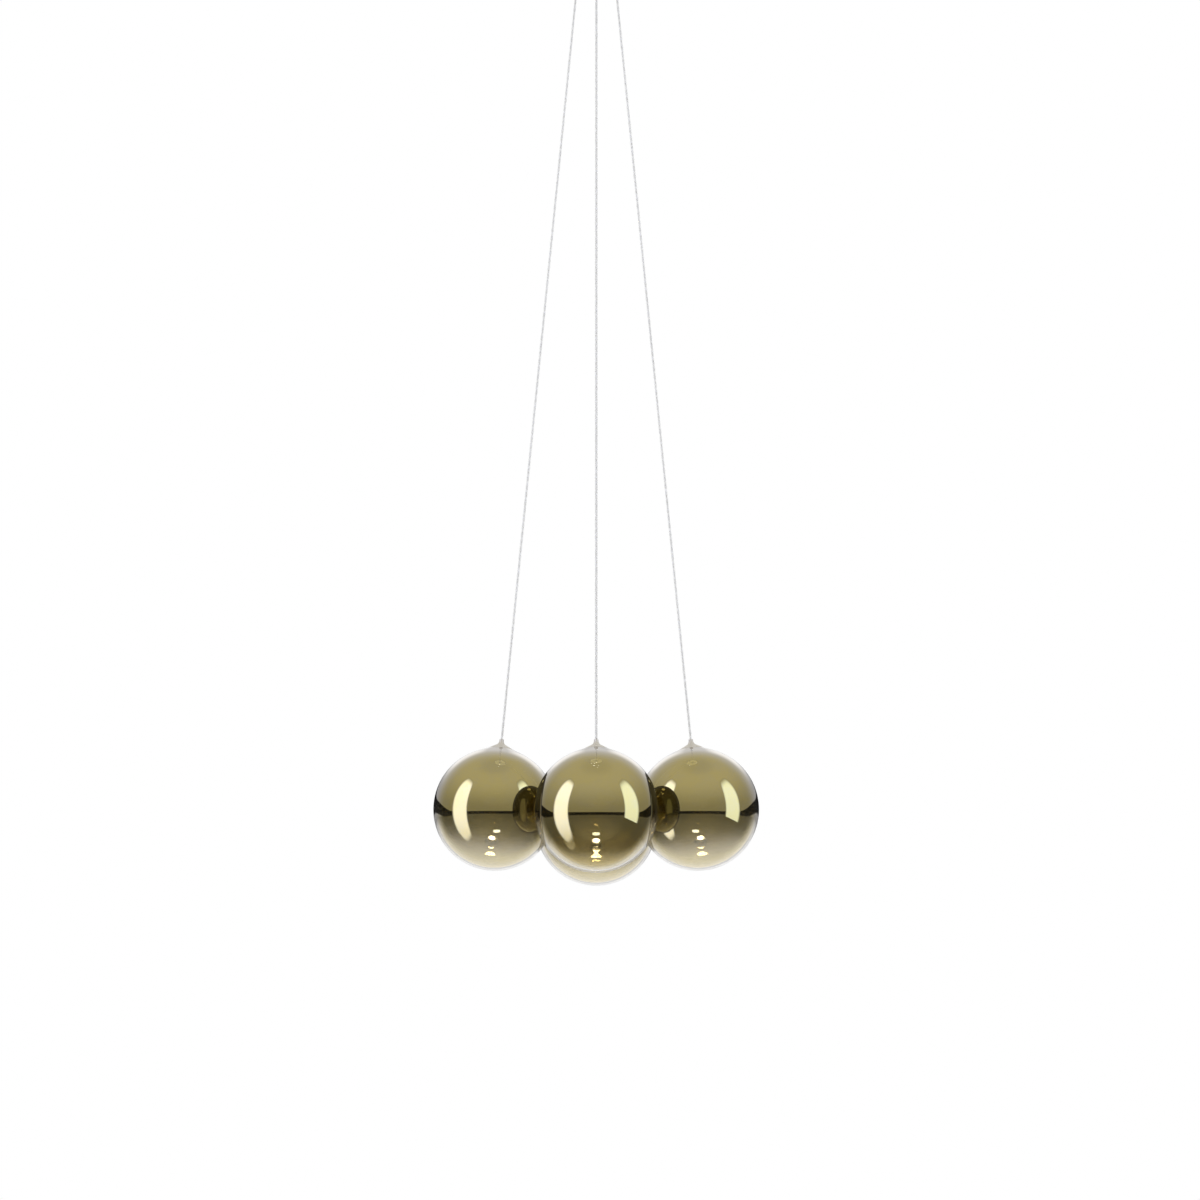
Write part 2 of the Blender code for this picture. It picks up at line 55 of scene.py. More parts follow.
CAMERA_TURN = radians(-0.059)
LENS_LENGTH = 110.2
SENSOR_WIDTH = 36.0
camera = bpy.data.objects.new("camera", bpy.data.cameras.new("camera"))
camera.data.lens = LENS_LENGTH
camera.data.sensor_width = SENSOR_WIDTH
camera.location = (0.0, -CAMERA_BACK, CAMERA_HEIGHT)
camera.rotation_euler = (pi / 2 + CAMERA_TIP, 0.0, CAMERA_TURN)
bpy.context.scene.collection.objects.link(camera)
bpy.context.scene.camera = camera

# Ceiling strap: a flat steel bar with its ends bent down into ears, zinc plated. Two slots take the screws
# into the ceiling, two holes carry the driver, and the canopy is screwed to the ears.
STRAP_THICKNESS = 0.0025
STRAP_BEND = 0.004
STRAP_EDGE = 0.0004
SLOT_APART = 0.073
SLOT_LENGTH = 0.008
SLOT_WIDTH = 0.005
SIDE_SCREW_RADIUS = 0.002
TAB_SCREW_RADIUS = 0.0015
HOLE_BREAK = 0.0003
HOLE_PLAY = 0.0003
HOLE_SIDES = 48
ARC_STEPS = 10
WELD = 1e-7
SHARP = radians(35)
ROUNDED_FROM = radians(30)
UPRIGHT = Matrix.Rotation(pi / 2, 4, "X")
ZINC = (0.56, 0.57, 0.58)
ZINC_DULL = (0.44, 0.45, 0.46)


def put(tree, socket, value):
    """Link an output to a socket, or set the socket to a plain value."""
    if isinstance(value, bpy.types.NodeSocket):
        tree.links.new(value, socket)
    else:
        socket.default_value = value


def plain(name, colour, metallic, roughness, **even):
    """A Principled material with its even sockets set."""
    material = bpy.data.materials.new(name)
    material.use_nodes = True
    sockets = material.node_tree.nodes["Principled BSDF"].inputs
    sockets["Base Color"].default_value = (*colour, 1.0)
    sockets["Metallic"].default_value = metallic
    sockets["Roughness"].default_value = roughness
    for socket, value in even.items():
        sockets[socket.replace("_", " ")].default_value = value
    return material


def node(material, kind, **sockets):
    """One more node in a material, with some of its inputs set or linked by name."""
    made = material.node_tree.nodes.new(kind)
    for name, value in sockets.items():
        put(material.node_tree, made.inputs[name.replace("_", " ")], value)
    return made


def feed(material, target, source):
    """Link an output into one of the shader's sockets."""
    shader = material.node_tree.nodes["Principled BSDF"]
    material.node_tree.links.new(source, shader.inputs[target])


def between(material, factor, first, second):
    """A colour that goes from one to another with a factor; either may be an output."""
    mix = node(material, "ShaderNodeMix")
    mix.data_type = "RGBA"
    put(material.node_tree, mix.inputs["Factor"], factor)
    for end, colour in (("A", first), ("B", second)):
        put(material.node_tree, mix.inputs[end], (*colour, 1.0) if isinstance(colour, tuple) else colour)
    return mix.outputs["Result"]


def mottled(name, colours, metallic, roughness, patch, grain, relief, stretch=(1, 1, 1), **even):
    """A finish with soft patches of two colours, and a finer grain in its gloss and its surface."""
    material = plain(name, colours[0], metallic, roughness, **even)
    spot = node(material, "ShaderNodeTexCoord").outputs["Object"]
    patches = node(material, "ShaderNodeTexNoise", Vector=spot, Scale=patch, Detail=4.0, Roughness=0.6)
    shares = node(material, "ShaderNodeMapRange", Value=patches.outputs["Fac"], From_Min=0.35, From_Max=0.65)
    feed(material, "Base Color", between(material, shares.outputs["Result"], *colours))
    drawn = node(material, "ShaderNodeMapping", Vector=spot, Scale=stretch)
    grains = node(material, "ShaderNodeTexNoise", Vector=drawn.outputs["Vector"], Scale=grain, Detail=3.0)
    gloss = node(material, "ShaderNodeMapRange", Value=grains.outputs["Fac"], From_Min=0.3, From_Max=0.7,
                 To_Min=roughness * 0.75, To_Max=roughness * 1.3)
    feed(material, "Roughness", gloss.outputs["Result"])
    bump = node(material, "ShaderNodeBump", Strength=0.4, Distance=relief, Height=grains.outputs["Fac"])
    feed(material, "Normal", bump.outputs["Normal"])
    return material


def closed_mesh(bm, name, sharp=SHARP):
    """A bmesh as a mesh, shaded smooth up to its sharp edges."""
    bmesh.ops.remove_doubles(bm, verts=bm.verts, dist=WELD)
    bmesh.ops.recalc_face_normals(bm, faces=bm.faces)
    mesh = bpy.data.meshes.new(name)
    bm.to_mesh(mesh)
    bm.free()
    mesh.shade_smooth()
    mesh.set_sharp_from_angle(angle=sharp)
    return mesh


def add_prism(bm, outline, low, high, edge=0.0, place=Matrix.Identity(4)):
    """An outline in X and Y drawn out between two heights, its sharp edges rounded off, then put in place."""
    ring = [bm.verts.new((x, y, low)) for x, y in outline]
    base = bm.faces.new(ring)
    raised = bmesh.ops.extrude_face_region(bm, geom=[base], use_keep_orig=True)
    lifted = [item for item in raised["geom"] if isinstance(item, bmesh.types.BMVert)]
    bmesh.ops.translate(bm, verts=lifted, vec=(0.0, 0.0, high - low))
    made = ring + lifted
    faces = list({face for vert in made for face in vert.link_faces})
    bmesh.ops.recalc_face_normals(bm, faces=faces)
    if edge:
        edges = {edge_on for vert in made for edge_on in vert.link_edges}
        sharp = [edge_on for edge_on in edges if edge_on.calc_face_angle(0.0) > ROUNDED_FROM]
        done = bmesh.ops.bevel(bm, geom=sharp, offset=edge, segments=3, profile=0.5, affect="EDGES",
                               clamp_overlap=True)
        kept = {vert for face in faces if face.is_valid for vert in face.verts}
        made = list(kept | {vert for face in done["faces"] for vert in face.verts})
    bmesh.ops.transform(bm, matrix=place, verts=made)


def add_turned(bm, profile, sides, closed, place=Matrix.Identity(4)):
    """A profile of (radius, height) points turned about Z, then put in place."""
    points = [bm.verts.new((radius, 0.0, height)) for radius, height in profile]
    pairs = list(zip(points, points[1:]))
    if closed:
        pairs.append((points[-1], points[0]))
    edges = [bm.edges.new(pair) for pair in pairs]
    old = set(bm.verts) - set(points)
    bmesh.ops.spin(bm, geom=points + edges, cent=(0, 0, 0), axis=(0, 0, 1), angle=2 * pi, steps=sides,
                   use_merge=True)
    bmesh.ops.transform(bm, matrix=place, verts=[vert for vert in bm.verts if vert not in old])


def add_drill(bm, radius, low, high, place):
    """A round cutter that goes right through and breaks the edges of its hole."""
    add_turned(bm, [
        (0.0, low - HOLE_BREAK),
        (radius + 2 * HOLE_BREAK, low - HOLE_BREAK),
        (radius, low + HOLE_BREAK),
        (radius, high - HOLE_BREAK),
        (radius + 2 * HOLE_BREAK, high + HOLE_BREAK),
        (0.0, high + HOLE_BREAK),
    ], HOLE_SIDES, False, place)


def bored(mesh, cutter):
    """One mesh cut out of another."""
    block = bpy.data.objects.new("block", mesh)
    tool = bpy.data.objects.new("tool", cutter)
    for item in (block, tool):
        bpy.context.scene.collection.objects.link(item)
    cut = block.modifiers.new("cut", "BOOLEAN")
    cut.operation = "DIFFERENCE"
    cut.object = tool
    result = bpy.data.meshes.new_from_object(block.evaluated_get(bpy.context.evaluated_depsgraph_get()))
    for item in (block, tool):
        bpy.data.objects.remove(item)
    result.shade_smooth()
    result.set_sharp_from_angle(angle=SHARP)
    return result


def place_piece(name, data, material, body, stands_for, matrix=Matrix.Identity(4)):
    """One finished piece that rides on a body and stands for its CAD node."""
    if not data.materials:
        data.materials.append(material)
    piece = bpy.data.objects.new(name, data)
    bpy.context.scene.collection.objects.link(piece)
    piece.matrix_world = matrix
    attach(piece, body)
    if stands_for:
        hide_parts(stands_for)
    return piece


def arc(x, y, radius, start, end):
    """Points along an arc."""
    angles = [start + (end - start) * step / ARC_STEPS for step in range(ARC_STEPS + 1)]
    return [(x + radius * cos(angle), y + radius * sin(angle)) for angle in angles]


def stadium(middle, length, width):
    """A slot along X with round ends."""
    straight = (length - width) / 2
    right = arc(middle + straight, 0.0, width / 2, -pi / 2, pi / 2)
    return right + arc(middle - straight, 0.0, width / 2, pi / 2, 3 * pi / 2)


def corners(name):
    """Lowest and highest corner of a CAD node."""
    return [Vector(corner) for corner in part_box(name)]


strap_low, strap_high = corners("ceiling_strap")
canopy_screw_low, canopy_screw_high = corners("right_canopy_screw")
driver_screw_low, driver_screw_high = corners("right_driver_screw")
side_screw_height = (canopy_screw_low.z + canopy_screw_high.z) / 2
tab_screw_at = (driver_screw_low.x + driver_screw_high.x) / 2


def out_to(side):
    """Turns +Z out to the left or the right, at the height of the canopy's screws."""
    return Matrix.Translation((0.0, 0.0, side_screw_height)) @ Matrix.Rotation(side * pi / 2, 4, "Y")


ear_out = strap_high.x
bend_x = ear_out - STRAP_BEND
bend_z = strap_high.z - STRAP_BEND
inner_bend = STRAP_BEND - STRAP_THICKNESS
strap_outline = [
    *arc(bend_x, bend_z, STRAP_BEND, pi / 2, 0.0),
    (ear_out, strap_low.z),
    (ear_out - STRAP_THICKNESS, strap_low.z),
    *arc(bend_x, bend_z, inner_bend, 0.0, pi / 2),
    *arc(-bend_x, bend_z, inner_bend, pi / 2, pi),
    (STRAP_THICKNESS - ear_out, strap_low.z),
    (-ear_out, strap_low.z),
    *arc(-bend_x, bend_z, STRAP_BEND, pi, pi / 2),
]
strap_bm = bmesh.new()
add_prism(strap_bm, strap_outline, strap_low.y, strap_high.y, STRAP_EDGE, UPRIGHT)
strap_cuts = bmesh.new()
for side in (-1, 1):
    add_prism(strap_cuts, stadium(side * SLOT_APART / 2, SLOT_LENGTH, SLOT_WIDTH), -2 * STRAP_THICKNESS,
              STRAP_THICKNESS)
    add_drill(strap_cuts, TAB_SCREW_RADIUS + HOLE_PLAY, -STRAP_THICKNESS, 0.0,
              Matrix.Translation((side * tab_screw_at, 0.0, strap_high.z)))
    add_drill(strap_cuts, SIDE_SCREW_RADIUS + HOLE_PLAY, ear_out - STRAP_THICKNESS, ear_out, out_to(side))
zinc = mottled("zinc plated steel", (ZINC, ZINC_DULL), metallic=1.0, roughness=0.36, patch=240.0,
               grain=900.0, relief=0.00003, stretch=(0.15, 1.0, 1.0))
strap_mesh = bored(closed_mesh(strap_bm, "strap"), closed_mesh(strap_cuts, "strap_cuts"))
place_piece("steel_ceiling_strap", strap_mesh, zinc, "canopy", "ceiling_strap")

# Driver: the small power supply in its moulded white case, a tray with a lid on it. Two flat tabs at its ends
# are screwed to the underside of the strap.
DRIVER_BODY_HALF = 0.022
DRIVER_TAB_THICKNESS = 0.002
DRIVER_EDGE = 0.0012
LID_HEIGHT = 0.0048
SEAM = 0.0005
VENT_COUNT = 7
VENT_PITCH = 0.0035
VENT_WIDTH = 0.0012
VENT_DEPTH = 0.0008
CASE_WHITE = (0.78, 0.78, 0.76)
CASE_SHADE = (0.73, 0.73, 0.71)


def rectangle(low_x, low_y, high_x, high_y):
    """The four corners of a rectangle."""
    return [(low_x, low_y), (high_x, low_y), (high_x, high_y), (low_x, high_y)]


driver_low, driver_high = corners("driver")
half_width = driver_high.y
lid_low = driver_high.z - LID_HEIGHT
tray = rectangle(-DRIVER_BODY_HALF, -half_width, DRIVER_BODY_HALF, half_width)
inset = rectangle(SEAM - DRIVER_BODY_HALF, SEAM - half_width, DRIVER_BODY_HALF - SEAM, half_width - SEAM)
driver_bm = bmesh.new()
add_prism(driver_bm, tray, driver_low.z, lid_low - SEAM, DRIVER_EDGE)
add_prism(driver_bm, inset, lid_low - 2 * SEAM, lid_low + SEAM)
add_prism(driver_bm, tray, lid_low, driver_high.z, DRIVER_EDGE / 3)
driver_cuts = bmesh.new()
for side in (-1, 1):
    ends = sorted((side * (DRIVER_BODY_HALF - DRIVER_EDGE), side * driver_high.x))
    add_prism(driver_bm, rectangle(ends[0], -half_width, ends[1], half_width),
              driver_high.z - DRIVER_TAB_THICKNESS, driver_high.z, DRIVER_EDGE / 3)
    add_drill(driver_cuts, TAB_SCREW_RADIUS + HOLE_PLAY, -DRIVER_TAB_THICKNESS, 0.0,
              Matrix.Translation((side * tab_screw_at, 0.0, driver_high.z)))
for index in range(VENT_COUNT):
    middle = (index - (VENT_COUNT - 1) / 2) * VENT_PITCH
    add_prism(driver_cuts, rectangle(middle - VENT_WIDTH / 2, -half_width / 2, middle + VENT_WIDTH / 2,
                                     half_width / 2), driver_low.z - VENT_DEPTH, driver_low.z + VENT_DEPTH)
case_plastic = mottled("moulded white case", (CASE_WHITE, CASE_SHADE), metallic=0.0, roughness=0.5,
                       patch=90.0, grain=2600.0, relief=0.00005)
driver_mesh = bored(closed_mesh(driver_bm, "driver"), closed_mesh(driver_cuts, "driver_cuts"))
place_piece("driver_case", driver_mesh, case_plastic, "canopy", "driver")

# Terminal block: three moulded poles on one foot, each with a screw down its tower. It stands on the canopy's
# floor, where the mains leads and the lamp leads meet.
POLE_COUNT = 3
POLE_GAP = 0.0006
FOOT_HEIGHT = 0.0015
POLE_EDGE = 0.0005
TOWER_RADIUS = 0.0017
TOWER_BORE = 0.0012
TOWER_DROP = 0.0035
BLOCK_SCREW_DROP = 0.0012
LEAD_MOUTH = 0.0011
BLOCK_WHITE = (0.80, 0.79, 0.73)
BLOCK_SHADE = (0.75, 0.74, 0.68)
BRASS = (0.68, 0.50, 0.24)
BRASS_DULL = (0.54, 0.40, 0.20)
block_low, block_high = corners("terminal_block")
pole_pitch = (block_high.x - block_low.x) / POLE_COUNT
pole_half = (pole_pitch - POLE_GAP) / 2
shoulder_height = block_high.z - TOWER_DROP
screw_top = block_high.z - BLOCK_SCREW_DROP
block_bm = bmesh.new()
screw_bm = bmesh.new()
block_cuts = bmesh.new()
add_prism(block_bm, rectangle(block_low.x, block_low.y, block_high.x, block_high.y), block_low.z,
          block_low.z + FOOT_HEIGHT, POLE_EDGE / 2)
for index in range(POLE_COUNT):
    middle = block_low.x + (index + 0.5) * pole_pitch
    tower = Matrix.Translation((middle, 0.0, 0.0))
    add_prism(block_bm, rectangle(middle - pole_half, block_low.y, middle + pole_half, block_high.y),
              block_low.z + FOOT_HEIGHT / 2, shoulder_height, POLE_EDGE)
    add_turned(block_bm, [
        (TOWER_BORE, block_high.z),
        (TOWER_BORE, shoulder_height - POLE_EDGE),
        (TOWER_RADIUS, shoulder_height - POLE_EDGE),
        (TOWER_RADIUS, block_high.z),
    ], HOLE_SIDES, True, tower)
    add_turned(screw_bm, [
        (0.0, shoulder_height),
        (TOWER_BORE - POLE_GAP / 3, shoulder_height),
        (TOWER_BORE - POLE_GAP / 3, screw_top - POLE_GAP / 3),
        (TOWER_BORE - POLE_GAP, screw_top),
        (0.0, screw_top),
    ], HOLE_SIDES, False, tower)
    mouth = Matrix.Translation((middle, 0.0, (shoulder_height + block_low.z) / 2)) @ UPRIGHT
    for end in (block_low.y, block_high.y):
        add_drill(block_cuts, LEAD_MOUTH, end - LEAD_MOUTH, end + LEAD_MOUTH, mouth)
block_plastic = mottled("moulded terminal plastic", (BLOCK_WHITE, BLOCK_SHADE), metallic=0.0,
                        roughness=0.45, patch=260.0, grain=3200.0, relief=0.00004)
brass = mottled("turned brass", (BRASS, BRASS_DULL), metallic=1.0, roughness=0.3, patch=300.0, grain=2400.0,
                relief=0.00002, stretch=(1, 1, 0.3))
block_mesh = bored(closed_mesh(block_bm, "block"), closed_mesh(block_cuts, "block_cuts"))
place_piece("three_pole_block", block_mesh, block_plastic, "canopy", "terminal_block")
place_piece("block_screws", closed_mesh(screw_bm, "block_screws"), brass, "canopy", None)

# Canopy: a cup spun from steel sheet and lacquered white, with its open edge against the ceiling. Four holes
# in its floor take the cable grips, two in its wall take the screws into the strap's ears.
CANOPY_WALL = 0.0015
CANOPY_FLOOR = 0.002
CANOPY_FILLET = 0.005
CANOPY_SIDES = 192
EASE_STEPS = 4
EASE_SHARE = 0.45
GRIP_SHANK_RADIUS = 0.005
LACQUER = (0.84, 0.84, 0.83)
LACQUER_SHADE = (0.81, 0.81, 0.80)
LAMPS = ("left", "right", "front", "back")


def turned(name, profile, sides, closed=False):
    """A mesh turned about Z from a profile of (radius, height) points."""
    bm = bmesh.new()
    add_turned(bm, profile, sides, closed)
    return closed_mesh(bm, name)


def eased(profile, radius, closed=False):
    """A profile with its corners rounded off."""
    points = [Vector(point) for point in profile]
    result = []
    for index, corner in enumerate(points):
        if not closed and index in (0, len(points) - 1):
            result.append(tuple(corner))
            continue
        back = points[index - 1] - corner
        on = points[(index + 1) % len(points)] - corner
        start = corner + back.normalized() * min(radius, back.length * EASE_SHARE)
        end = corner + on.normalized() * min(radius, on.length * EASE_SHARE)
        for step in range(EASE_STEPS + 1):
            share = step / EASE_STEPS
            point = start.lerp(corner, share).lerp(corner.lerp(end, share), share)
            result.append(tuple(point))
    return result


def grip_middle(lamp):
    """Middle of one cable grip, seen from below."""
    low, high = corners(lamp + "_cable_grip")
    return Matrix.Translation(((low.x + high.x) / 2, (low.y + high.y) / 2, 0.0))


cup_low, cup_high = corners("canopy_cup")
cup_radius = cup_high.x
cup_inner = cup_radius - CANOPY_WALL
inner_fillet = CANOPY_FILLET - CANOPY_WALL
cup_floor = cup_low.z + CANOPY_FLOOR
rim_low = cup_high.z - CANOPY_WALL
cup_profile = [
    (0.0, cup_low.z),
    *arc(cup_radius - CANOPY_FILLET, cup_low.z + CANOPY_FILLET, CANOPY_FILLET, -pi / 2, 0.0),
    *eased([(cup_radius, rim_low), (cup_radius, cup_high.z), (cup_inner, cup_high.z), (cup_inner, rim_low)],
           CANOPY_WALL / 3),
    *arc(cup_inner - inner_fillet, cup_floor + inner_fillet, inner_fillet, 0.0, -pi / 2),
    (0.0, cup_floor),
]
cup_cuts = bmesh.new()
for lamp in LAMPS:
    add_drill(cup_cuts, GRIP_SHANK_RADIUS + HOLE_PLAY, cup_low.z, cup_floor, grip_middle(lamp))
for side in (-1, 1):
    add_drill(cup_cuts, SIDE_SCREW_RADIUS + HOLE_PLAY, cup_inner, cup_radius, out_to(side))
lacquer = mottled("white lacquer", (LACQUER, LACQUER_SHADE), metallic=0.0, roughness=0.32, patch=14.0,
                  grain=620.0, relief=0.00004, Coat_Weight=0.3)
cup_mesh = bored(turned("canopy", cup_profile, CANOPY_SIDES), closed_mesh(cup_cuts, "canopy_cuts"))
place_piece("lacquered_canopy", cup_mesh, lacquer, "canopy", "canopy_cup")

# Screws: zinc plated pan heads with a slot. Two go through the canopy's wall into the ears of the strap, two
# hold the driver's tabs up against the strap.
HEAD_HEIGHT = 0.0018
HEAD_OVERHANG = 0.0015
THREAD_PITCH = 0.0007
THREAD_DEPTH = 0.0002
SCREW_SLOT = 0.0008
SCREW_SIDES = 48
HEAD_STEPS = 6
SIDE_SLOT_TURN = pi / 5
TAB_SLOT_TURN = pi / 7


def pan_screw(name, radius, length):
    """A slotted pan-head screw: its head hangs below the origin and its thread runs up Z."""
    head = radius + HEAD_OVERHANG
    profile = [(0.0, length), (radius - 2 * THREAD_DEPTH, length)]
    height = length - THREAD_PITCH / 2
    while height > THREAD_PITCH:
        profile += [(radius, height), (radius - THREAD_DEPTH, height - THREAD_PITCH / 2)]
        height -= THREAD_PITCH
    profile += [(radius, THREAD_PITCH / 2), (radius, 0.0), (head, 0.0)]
    for step in range(HEAD_STEPS + 1):
        angle = pi / 2 * step / HEAD_STEPS
        profile.append((head * cos(angle) ** 0.5, -HEAD_HEIGHT / 3 - HEAD_HEIGHT * 2 / 3 * sin(angle)))
    profile[-1] = (0.0, -HEAD_HEIGHT)
    slot = bmesh.new()
    add_prism(slot, rectangle(-2 * head, -SCREW_SLOT / 2, 2 * head, SCREW_SLOT / 2), -2 * HEAD_HEIGHT,
              SCREW_SLOT - HEAD_HEIGHT)
    return bored(turned(name, profile, SCREW_SIDES), closed_mesh(slot, name + "_slot"))


side_screw_length = canopy_screw_high.x - canopy_screw_low.x - HEAD_HEIGHT
tab_screw_length = driver_screw_high.z - driver_screw_low.z - HEAD_HEIGHT
side_screw = pan_screw("side_screw", SIDE_SCREW_RADIUS, side_screw_length)
tab_screw = pan_screw("tab_screw", TAB_SCREW_RADIUS, tab_screw_length)
for hand, side in (("left", -1), ("right", 1)):
    seat = Matrix.Translation((side * (canopy_screw_high.x - HEAD_HEIGHT), 0.0, side_screw_height))
    place_piece(hand + "_side_screw", side_screw, zinc, "canopy", hand + "_canopy_screw",
                seat @ Matrix.Rotation(-side * pi / 2, 4, "Y") @ Matrix.Rotation(SIDE_SLOT_TURN, 4, "Z"))
    seat = Matrix.Translation((side * tab_screw_at, 0.0, driver_screw_low.z + HEAD_HEIGHT))
    place_piece(hand + "_tab_screw", tab_screw, zinc, "canopy", hand + "_driver_screw",
                seat @ Matrix.Rotation(side * TAB_SLOT_TURN, 4, "Z"))

# Cable grips: nipples turned from brass and nickel plated, with a knurled band to turn them by. Each clamps
# its cable in a narrow throat above a wide bell mouth, and a brass nut inside the canopy holds it.
GRIP_SIDES = 96
GRIP_EDGE = 0.0006
THROAT_RADIUS = 0.0022
BELL_DEPTH = 0.004
KNURL_DEPTH = 0.00022
KNURL_LOW = 0.25
KNURL_HIGH = 0.8
NUT_CHAMFER = tan(radians(28))
NUT_LEAD = 0.2
NUT_SIDES = 72
NUT_SHARP = radians(25)
NICKEL = (0.76, 0.75, 0.73)


def away_from_axis(material, spot):
    """How far a spot lies from the origin, or from Z where its height is left out."""
    away = node(material, "ShaderNodeVectorMath")
    away.operation = "LENGTH"
    material.node_tree.links.new(spot, away.inputs[0])
    return away.outputs["Value"]


def turned_finish(name, colour, roughness, rings, metallic=1.0):
    """Metal off a lathe: fine rings that follow the tool, and a little mottle."""
    material = plain(name, colour, metallic, roughness)
    spot = node(material, "ShaderNodeTexCoord").outputs["Object"]
    parts = node(material, "ShaderNodeSeparateXYZ", Vector=spot)
    flat = node(material, "ShaderNodeCombineXYZ", X=parts.outputs["X"], Y=parts.outputs["Y"])
    away = away_from_axis(material, flat.outputs["Vector"])
    track = node(material, "ShaderNodeCombineXYZ", X=away, Y=parts.outputs["Z"])
    tool = node(material, "ShaderNodeTexNoise", Vector=track.outputs["Vector"], Scale=rings, Detail=3.0)
    haze = node(material, "ShaderNodeTexNoise", Vector=spot, Scale=160.0, Detail=4.0)
    both = node(material, "ShaderNodeMath")
    both.operation = "MULTIPLY"
    material.node_tree.links.new(tool.outputs["Fac"], both.inputs[0])
    material.node_tree.links.new(haze.outputs["Fac"], both.inputs[1])
    gloss = node(material, "ShaderNodeMapRange", Value=both.outputs["Value"], From_Min=0.1, From_Max=0.4,
                 To_Min=roughness * 0.75, To_Max=roughness * 1.3)
    feed(material, "Roughness", gloss.outputs["Result"])
    bump = node(material, "ShaderNodeBump", Strength=0.25, Distance=0.00004, Height=tool.outputs["Fac"])
    feed(material, "Normal", bump.outputs["Normal"])
    return material


def hex_nut(name, flat, hole, low, high):
    """A hexagon nut with its corners turned down to a cone at both faces."""
    bm = bmesh.new()
    lead = (flat - hole) * NUT_LEAD
    rings = []
    for step in range(NUT_SIDES):
        angle = 2 * pi * step / NUT_SIDES
        corner = flat / cos((angle % (pi / 3)) - pi / 6)
        drop = (corner - flat) * NUT_CHAMFER
        section = [(hole, low + lead), (hole + lead, low), (flat, low), (corner, low + drop),
                   (corner, high - drop), (flat, high), (hole + lead, high), (hole, high - lead)]
        rings.append([bm.verts.new((out * cos(angle), out * sin(angle), height)) for out, height in section])
    for index, ring in enumerate(rings):
        last = rings[index - 1]
        for spot in range(len(ring)):
            bm.faces.new((last[spot - 1], last[spot], ring[spot], ring[spot - 1]))
    return closed_mesh(bm, name, NUT_SHARP)


grip_low, grip_high = corners("left_cable_grip")
grip_nut_low, grip_nut_high = corners("left_grip_nut")
grip_radius = (grip_high.x - grip_low.x) / 2
nose_top = cup_low.z - HOLE_PLAY
bell_radius = grip_radius - 2 * GRIP_EDGE
nose = nose_top - grip_low.z
band_low = grip_low.z + nose * KNURL_LOW
band_high = grip_low.z + nose * KNURL_HIGH
grip_profile = eased([
    (THROAT_RADIUS, grip_high.z),
    (THROAT_RADIUS, grip_low.z + BELL_DEPTH),
    (bell_radius, grip_low.z),
    (grip_radius, grip_low.z),
    (grip_radius, band_low),
    (grip_radius - KNURL_DEPTH, band_low + KNURL_DEPTH),
    (grip_radius - KNURL_DEPTH, band_high - KNURL_DEPTH),
    (grip_radius, band_high),
    (grip_radius, nose_top),
    (GRIP_SHANK_RADIUS, nose_top),
    (GRIP_SHANK_RADIUS, grip_high.z),
], GRIP_EDGE, closed=True)
grip_bm = bmesh.new()
add_turned(grip_bm, grip_profile, 2 * GRIP_SIDES, True)
bmesh.ops.remove_doubles(grip_bm, verts=grip_bm.verts, dist=WELD)
for vert in grip_bm.verts:
    if band_low + KNURL_DEPTH < vert.co.z < band_high - KNURL_DEPTH and vert.co.xy.length > bell_radius:
        tooth = cos(GRIP_SIDES * vert.co.xy.angle_signed(Vector((1.0, 0.0))))
        vert.co.xy = vert.co.xy.normalized() * (vert.co.xy.length + KNURL_DEPTH * tooth / 2)
grip_mesh = closed_mesh(grip_bm, "grip")
nickel = turned_finish("bright nickel", NICKEL, roughness=0.14, rings=4200.0)
grip_nut_flat = (grip_nut_high.y - grip_nut_low.y) / 2 * cos(pi / 6)
grip_nut = hex_nut("grip_nut", grip_nut_flat, GRIP_SHANK_RADIUS + HOLE_PLAY, grip_nut_low.z, grip_nut_high.z)
for lamp in LAMPS:
    place_piece(lamp + "_nickel_grip", grip_mesh, nickel, "canopy", lamp + "_cable_grip",
                grip_middle(lamp))
    place_piece(lamp + "_brass_grip_nut", grip_nut, brass, "canopy", lamp + "_grip_nut",
                grip_middle(lamp))

# Cables: a clear sheath over two silvery white leads that are twisted together. Each hangs dead straight from
# the mouth of its grip down into the cap, under the weight of its globe.
GLOBE_RADIUS = 0.075
CABLE_DIAMETER = 0.0032
CABLE_POINTS = 24
LEAD_DIAMETER = 0.001
LEAD_OFFSET = 0.00062
LEAD_PITCH = 0.020
LEAD_STEPS = 10
SHEATH_CLEAR = (0.86, 0.86, 0.85)
LEAD_SILVER = (0.90, 0.895, 0.885)
LEAD_DULL = (0.82, 0.81, 0.80)


def lamp_frame(lamp):
    """Where one lamp hangs: origin at the middle of its globe, +Z up its cable, +X out from the cluster."""
    swing = next(joint for joint in frame["joints"] if joint["child"] == lamp + "_lamp")
    pivot = Vector(swing["pos_m"])
    lens = [vertex.co for vertex in frame["nodes"][lamp + "_lens"].data.vertices]
    upward = (pivot - sum(lens, Vector()) / len(lens)).normalized()
    bottom = max((pivot - vertex.co).dot(upward) for vertex in frame["nodes"][lamp + "_globe"].data.vertices)
    middle = pivot - upward * (bottom - GLOBE_RADIUS)
    out = Vector((pivot.x, pivot.y, 0.0))
    out = (out - upward * out.dot(upward)).normalized()
    turn = Matrix((out, upward.cross(out), upward)).transposed().to_4x4()
    return Matrix.Translation(middle) @ turn


PLACES = {lamp: lamp_frame(lamp) for lamp in LAMPS}


def span(lamp, piece):
    """Lowest and highest point of a lamp's CAD piece along its axis, and its widest radius."""
    inverse = PLACES[lamp].inverted()
    points = [inverse @ vertex.co for vertex in frame["nodes"][lamp + "_" + piece].data.vertices]
    heights = [point.z for point in points]
    return min(heights), max(heights), max(point.xy.length for point in points)


